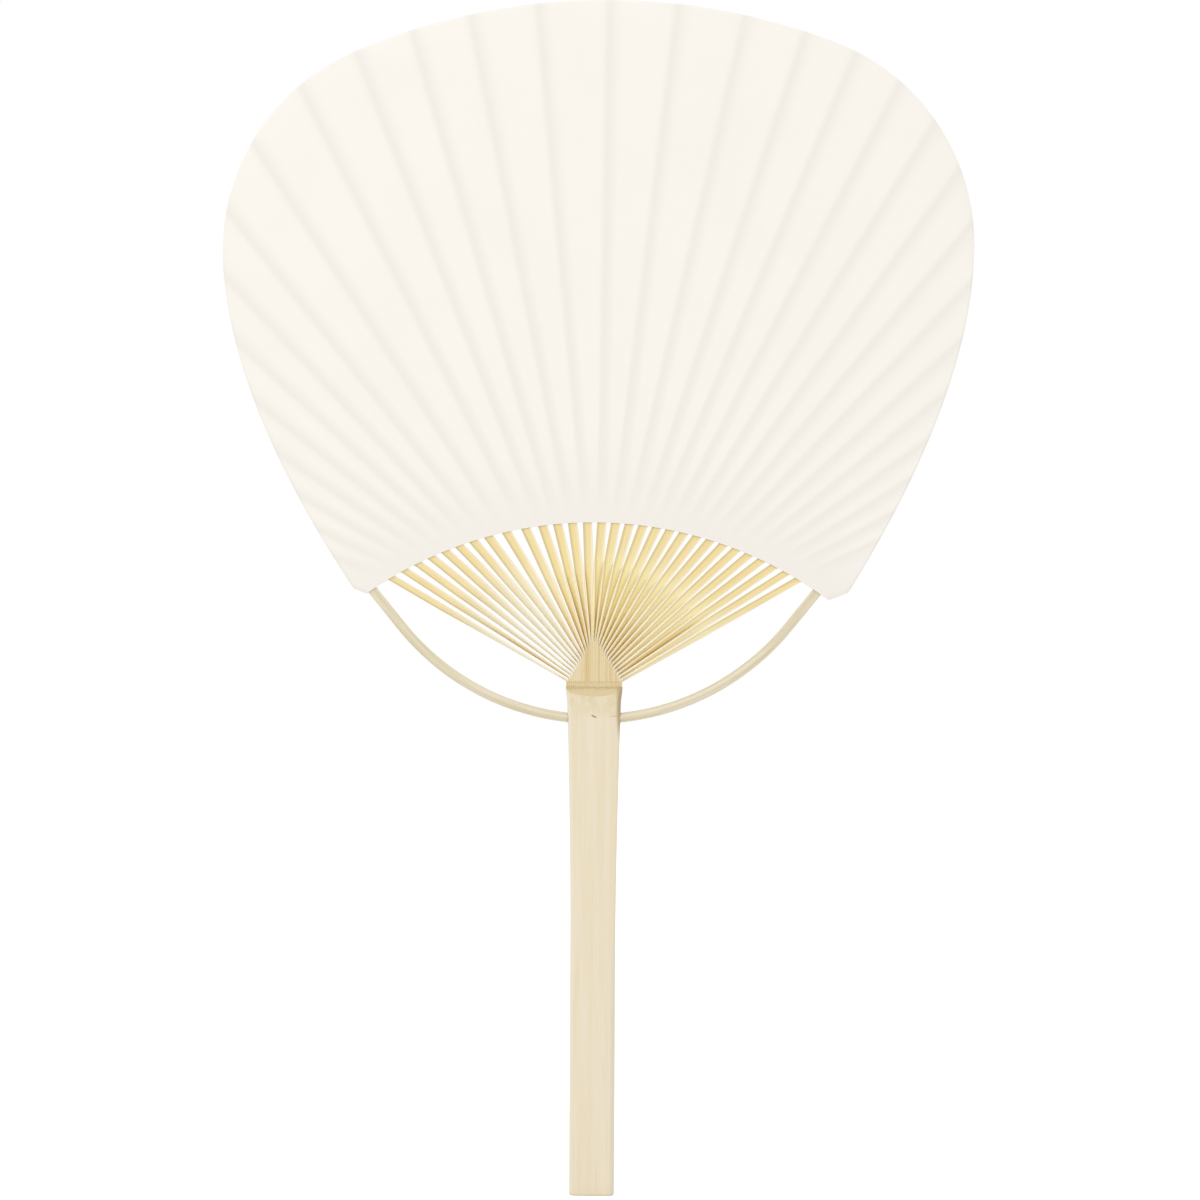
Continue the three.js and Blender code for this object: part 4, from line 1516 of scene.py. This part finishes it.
@dataclass
class Leaf:
    """One paper: flat along its hem, low ridges over the ribs, its rim pasted to the other paper's."""

    ribs: RibFan
    lacing: Lacing
    face: Face
    paper: float = 0.16
    between_ribs: float = 0.45
    hem: float = 9.0
    hem_fade: float = 13.0
    rim: float = 1.0
    rim_rows: int = 3
    rows: int = 40
    flank: float = 3.0
    end_columns: int = 8
    room_share: float = 0.47
    least_flank: float = 0.1
    corner_open: float = 0.1
    corner_rate: float = 4.0
    # The columns over a rib: the share of its half-width, the share of the flank, the rise and the painted
    # shade.
    ridge: tuple[tuple[float, float, float, float], ...] = (
        (-1.0, -1.0, 0.0, 0.0),
        (-1.0, -0.6, 0.35, 0.04),
        (-1.0, -0.22, 0.85, 0.3),
        (-0.85, 0.0, 1.0, 0.8),
        (-0.3, 0.0, 1.0, 1.0),
        (0.35, 0.0, 1.0, 0.78),
        (1.0, 0.0, 1.0, 0.5),
        (1.0, 0.3, 0.78, 0.3),
        (1.0, 0.65, 0.3, 0.12),
        (1.0, 1.0, 0.0, 0.0),
    )

    @property
    def over_rib(self) -> float:
        """The depth of the paper's inner face over a rib."""
        return self.lacing.depth + self.lacing.thickness / 2.0 + self.lacing.glue_gap

    def rib_columns(self, line: RibLine, before: RibLine | None, after: RibLine | None) -> list[Column]:
        """The columns over one rib, their painted shade dark along its left edge and fading to the right.

        Args:
            line: The rib.
            before: Its neighbour on the left, or None.
            after: Its neighbour on the right, or None.

        Returns:
            The columns, from left to right.
        """
        half = line.width / 2.0

        def foot(other: RibLine | None, distance: float) -> float:
            """How far from the rib's middle its ridge ends, on one side.

            Args:
                other: The neighbour on that side, or None.
                distance: The distance from the seat.

            Returns:
                The distance from the rib's middle.
            """
            if other is None:
                return half + self.flank
            room = abs(other.beside(0.0)(distance) - line.beside(0.0)(distance)) * distance
            return max(min(half + self.flank, self.room_share * room), half + self.least_flank)

        def column(inside: float, outside: float, rise: float, shade: float) -> Column:
            """A column at a share of the rib's half-width, moved a share of the flank outwards.

            Args:
                inside: The share of the half-width, negative to the left.
                outside: The share of the flank.
                rise: How high the paper lies, from 0 between the ribs to 1 over the rib.
                shade: How dark the rib's painted shade is there.

            Returns:
                The column.
            """
            other = before if inside < 0.0 else after

            def bearing_at(distance: float) -> float:
                """The column's bearing at a distance from the seat."""
                aside = inside * half + outside * (foot(other, distance) - half)
                return line.beside(aside)(distance)

            return Column(bearing_at, rise, shade)

        return [column(*row) for row in self.ridge]

    def columns(self) -> list[Column]:
        """Lays out the leaf's columns.

        Returns:
            All of them, from the left corner to the right one.
        """
        lines = self.ribs.lines
        left_end, right_end = (self.ribs.outline.corner_bearing(side) for side in Side)

        def between(a: Bearing, b: Bearing, share: float) -> Bearing:
            """A line a share of the way from one line to another."""
            return lambda distance: lerp(a(distance), b(distance), share)

        found = []
        for order, line in enumerate(lines):
            before = lines[order - 1] if order > 0 else None
            after = lines[order + 1] if order + 1 < len(lines) else None
            if before:
                found.append(Column(between(before.beside(0.0), line.beside(0.0), 0.5)))
            found += self.rib_columns(line, before, after)
        first, last = found[0].bearing_at, found[-1].bearing_at
        shares = [i / self.end_columns for i in range(self.end_columns)]
        opened = [min(1.0, self.corner_open + self.corner_rate * s) for s in shares]
        left = [Column(between(lambda _: left_end, first, s), open=o) for s, o in zip(shares, opened)]
        right = [Column(between(lambda _: right_end, last, s), open=o) for s, o in zip(shares, opened)]
        return left + found + right[::-1]

    def build(self, tree: Tree, finish: Material) -> None:
        """Rules the sheet and puts it in its node's place.

        Args:
            tree: The tree that rules a leaf.
            finish: The paper's finish.
        """
        outline = self.ribs.outline
        columns = self.columns()
        low = [in_space(outline.meeting(c.bearing_at, outline.inner_reach)) for c in columns]
        high = [in_space(outline.meeting(c.bearing_at, outline.outer_reach)) for c in columns]
        marks = {
            "over_rib": [c.over_rib for c in columns] * 2,
            "shade": [c.shade for c in columns] * 2,
            "open": [c.open for c in columns] * 2,
        }
        name = f"{self.face.name.lower()}_leaf"
        guide = guide_line(f"{name}_rails", [*low, *high], marks)
        sizes = {
            "Columns": len(columns),
            "Rows": self.rows,
            "Rim rows": self.rim_rows,
            "Face": float(self.face),
            "Paper": self.paper * MM,
            "Over rib": self.over_rib * MM,
            "Between ribs": self.between_ribs * MM,
            "Hem": self.hem * MM,
            "Hem fade": self.hem_fade * MM,
            "Rim": self.rim * MM,
            "Finish": finish,
        }
        seat(grow(tree, guide, f"paper_{name}", sizes), name)


@dataclass
class Handle:
    """The handle: one flat strip of bamboo, its front bulging, its node bevelled, a hole for the bow."""

    bow: Bow
    seat_half: float
    thickness: float = 5.6
    grip_width: float = 14.0
    neck_width: float = 16.6
    node_width: float = 17.6
    node_length: float = 5.5
    grip_straight: float = 82.0
    flare_power: float = 1.5
    edge_round: float = 1.3
    front_bulge: float = 0.7
    butt_chamfer: float = 0.7
    bevel_deg: float = 24.0
    front_points: int = 29
    back_points: int = 15
    side_points: int = 5
    corner_points: int = 9
    butt_rings: int = 5
    grip_rings: int = 22
    neck_rings: int = 30
    node_rings: int = 23
    drill_sides: int = 40

    def half_width(self, height: float) -> float:
        """The handle's half-width: straight grip, widening neck, then the swelling of the node.

        Args:
            height: The height above the butt end.

        Returns:
            The half-width there.
        """
        node_start = SEAT - self.node_length
        along = clamp((height - self.grip_straight) / (node_start - self.grip_straight), 0.0, 1.0)
        neck = lerp(self.grip_width, self.neck_width, along**self.flare_power)
        swell = (self.node_width - self.neck_width) * smoothstep(height, node_start, SEAT)
        return (neck + swell) / 2.0

    def ring(self, height: float, inset: float = 0.0) -> list[Vector]:
        """One ring of the handle.

        Args:
            height: Its height above the butt end.
            inset: How far it is drawn in all round.

        Returns:
            The ring's points in the frame, in metres.
        """
        half = self.half_width(height) - inset
        back = self.thickness / 2.0 - inset
        front_edge = self.front_bulge - back
        inner = half - self.edge_round

        def bulge(x: float) -> float:
            """The front face's depth across the width."""
            return front_edge - self.front_bulge * (1.0 - (x / half) ** 2)

        shares = spread(0.0, 1.0, self.corner_points)[1:]
        low, high = front_edge + self.edge_round, back - self.edge_round
        points = [Vector((x, bulge(x))) for x in spread(-inner, inner, self.front_points)]
        points += rounded(points[-1], Vector((half, front_edge)), Vector((half, low)), shares)
        points += [Vector((half, y)) for y in spread(low, high, self.side_points)[1:]]
        points += rounded(points[-1], Vector((half, back)), Vector((inner, back)), shares)
        points += [Vector((x, back)) for x in spread(inner, -inner, self.back_points)[1:]]
        points += rounded(points[-1], Vector((-half, back)), Vector((-half, high)), shares)
        points += [Vector((-half, y)) for y in spread(high, low, self.side_points)[1:]]
        points += rounded(points[-1], Vector((-half, front_edge)), points[0], shares)[:-1]
        limit = self.seat_half + (SEAT - height) * math.tan(math.radians(self.bevel_deg))
        return [Vector((p.x, clamp(p.y, -limit, limit), height)) * MM for p in points]

    def rings(self) -> list[list[Vector]]:
        """Lays out the handle's rings.

        Returns:
            Every ring from the butt end to the seat of the ribs.
        """
        found = []
        for turn in spread(0.0, math.pi / 2.0, self.butt_rings):
            inset = self.butt_chamfer * (1.0 - math.sin(turn))
            found.append(self.ring(self.butt_chamfer * (1.0 - math.cos(turn)), inset))
        node_start = SEAT - self.node_length
        heights = spread(self.butt_chamfer, self.grip_straight, self.grip_rings)[1:]
        heights += spread(self.grip_straight, node_start, self.neck_rings)[1:]
        heights += spread(node_start, SEAT, self.node_rings)[1:]
        return found + [self.ring(height) for height in heights]

    def drill(self) -> Object:
        """Makes the rod that cuts the bow's hole.

        Returns:
            The rod, to be removed after the cut.
        """
        sag = self.bow.point(self.half_width(SEAT - self.bow.drop)).y + self.bow.drop
        radius = ((self.bow.diameter + sag) / 2.0 + self.bow.clearance) * MM
        place = Matrix.Translation((0.0, 0.0, (SEAT - self.bow.drop + sag / 2.0) * MM))
        across = place @ Matrix.Rotation(math.pi / 2.0, 4, "Y")
        shell = bmesh.new()
        bmesh.ops.create_cone(
            shell,
            cap_ends=True,
            segments=self.drill_sides,
            radius1=radius,
            radius2=radius,
            depth=2.0 * self.node_width * MM,
            matrix=across,
        )
        mesh = bpy.data.meshes.new("bow_drill")
        shell.to_mesh(mesh)
        shell.free()
        return add_object("bow_drill", mesh)

    def build(self, finish: Material) -> None:
        """Lofts the handle, cuts the bow's hole and puts the piece in its node's place.

        Args:
            finish: The handle's finish.
        """
        shell = bmesh.new()
        rows = [[shell.verts.new(point) for point in ring] for ring in self.rings()]
        for below, above in zip(rows, rows[1:]):
            for i in range(len(below)):
                j = (i + 1) % len(below)
                shell.faces.new((below[i], below[j], above[j], above[i]))
        shell.faces.new(list(reversed(rows[0])))
        shell.faces.new(rows[-1])
        for face in shell.faces:
            face.smooth = True
        mesh = bpy.data.meshes.new("handle_strip")
        shell.to_mesh(mesh)
        shell.free()
        face_outwards(mesh)
        mesh.materials.append(finish)
        piece = add_object("bamboo_handle", mesh)
        drill = self.drill()
        cut = piece.modifiers.new("bow_hole", "BOOLEAN")
        cut.operation, cut.solver, cut.object = "DIFFERENCE", "EXACT", drill
        settle(piece)
        bpy.data.objects.remove(drill)
        seat(piece, "handle")


@dataclass
class Studio:
    """The stage: a pale floor, a white surround, a soft lamp at the upper left, a fill lamp, a camera."""

    pixel: float = 0.31
    hub_pixel: tuple[float, float] = (594.6, 687.0)
    image_size: float = 1200.0
    distance: float = 1600.0
    sensor: float = 36.0
    roll_deg: float = 0.30
    surround: float = 0.835
    key_power: float = 3.4
    key_size: float = 0.95
    key_place: tuple[float, float, float] = (-0.8, -0.96, 0.96)
    fill_power: float = 20.4
    fill_size: float = 2.4
    fill_place: tuple[float, float, float] = (3.6, -3.3, 1.5)
    aim_height: float = 0.22
    floor_white: str = "#f2f1ef"
    floor_half: float = 6.0
    floor_lift: float = 0.5

    def build(self) -> None:
        """Makes the floor, the surround, the lamps and the camera."""
        self.floor()
        self.world()
        self.lamp("soft_key", self.key_power, self.key_size, self.key_place)
        self.lamp("soft_fill", self.fill_power, self.fill_size, self.fill_place)
        self.camera()

    def seen(self, tree: Tree) -> Socket:
        """Tells rays that show the surround itself from rays that light the object.

        Args:
            tree: The tree of shader nodes.

        Returns:
            A socket that is 1 on the first kind of ray, and 0 on the second.
        """
        path = add_node(tree, "ShaderNodeLightPath")
        shown = path["Is Camera Ray"]
        for other in ("Is Glossy Ray", "Is Transmission Ray"):
            shown = add_node(tree, "ShaderNodeMath", {0: shown, 1: path[other]}, operation="MAXIMUM")[0]
        return shown

    def floor(self) -> None:
        """A wide pale floor that keeps the object's shadow."""
        half = self.floor_half
        mesh = bpy.data.meshes.new("floor")
        corners = [(-half, -half, 0.0), (half, -half, 0.0), (half, half, 0.0), (-half, half, 0.0)]
        mesh.from_pydata(corners, [], [(0, 1, 2, 3)])
        made = bpy.data.materials.new("pale_floor")
        made.use_nodes = True
        tree = made.node_tree
        tree.nodes.clear()
        matt = add_node(tree, "ShaderNodeBsdfDiffuse", {"Color": self.floor_white})[0]
        lift = product(tree, self.seen(tree), self.floor_lift)
        glow = add_node(tree, "ShaderNodeEmission", {"Strength": lift})[0]
        both = add_node(tree, "ShaderNodeAddShader", {0: matt, 1: glow})[0]
        add_node(tree, "ShaderNodeOutputMaterial", {"Surface": both})
        mesh.materials.append(made)
        floor = add_object("floor", mesh)

    def world(self) -> None:
        """A white surround, dimmer as a light than it looks."""
        world = bpy.data.worlds.new("white_surround")
        world.use_nodes = True
        tree = world.node_tree
        tree.nodes.clear()
        strength = product(tree, Fade(self.seen(tree), (0.0, 1.0), (self.surround, 1.0)))
        white = {"Color": (1.0, 1.0, 1.0, 1.0), "Strength": strength}
        sky = add_node(tree, "ShaderNodeBackground", white)[0]
        add_node(tree, "ShaderNodeOutputWorld", {"Surface": sky})
        bpy.context.scene.world = world

    def lamp(self, name: str, power: float, size: float, place: tuple[float, float, float]) -> None:
        """One large soft lamp, aimed at the fan.

        Args:
            name: The lamp's name.
            power: Its power, in watts.
            size: Its side, in metres.
            place: Where it hangs, in metres.
        """
        light = bpy.data.lights.new(name, "AREA")
        light.energy, light.size = power, size
        lamp = add_object(name, light)
        lamp.location = place
        aim = Vector((0.0, 0.0, self.aim_height)) - lamp.location
        lamp.rotation_euler = aim.to_track_quat("-Z", "Y").to_euler()

    def camera(self) -> None:
        """The camera at the photograph's viewing angle, turned a little as the fan leans in it."""
        middle = self.image_size / 2.0
        lens = bpy.data.cameras.new("camera")
        lens.sensor_width = self.sensor
        lens.lens = self.sensor * self.distance / (self.image_size * self.pixel)
        camera = add_object("camera", lens)
        across = (middle - self.hub_pixel[0]) * self.pixel
        up = SEAT + (self.hub_pixel[1] - middle) * self.pixel
        camera.location = Vector((across, -self.distance, up)) * MM
        level = Matrix.Rotation(math.pi / 2.0, 3, "X") @ Matrix.Rotation(math.radians(self.roll_deg), 3, "Z")
        camera.rotation_euler = level.to_euler()
        bpy.context.scene.camera = camera
        bpy.context.scene.view_settings.view_transform = "Standard"


def main() -> None:
    """Builds the fan piece by piece, then the stage."""
    logging.basicConfig(level=logging.INFO, format="%(name)s: %(message)s")
    outline = LeafOutline()
    ribs = RibFan(outline)
    bow = Bow(outline, pared_depth=ribs.thickness)
    lacing = Lacing(ribs, bow)
    Handle(bow, seat_half=ribs.width_middle / 2.0 + ribs.seat_gap).build(PlanedBamboo().material())
    strip = strip_tree()
    ribs.build(strip, SplitBamboo().material())
    bow.build(rod_tree(), ScrapedBamboo().material())
    lacing.build(strip, CottonThread().material())
    sheet = leaf_tree()
    paper = PastedPaper().material()
    for face in Face:
        Leaf(ribs, lacing, face).build(sheet, paper)
    Studio().build()


if __name__ == "__main__":
    main()
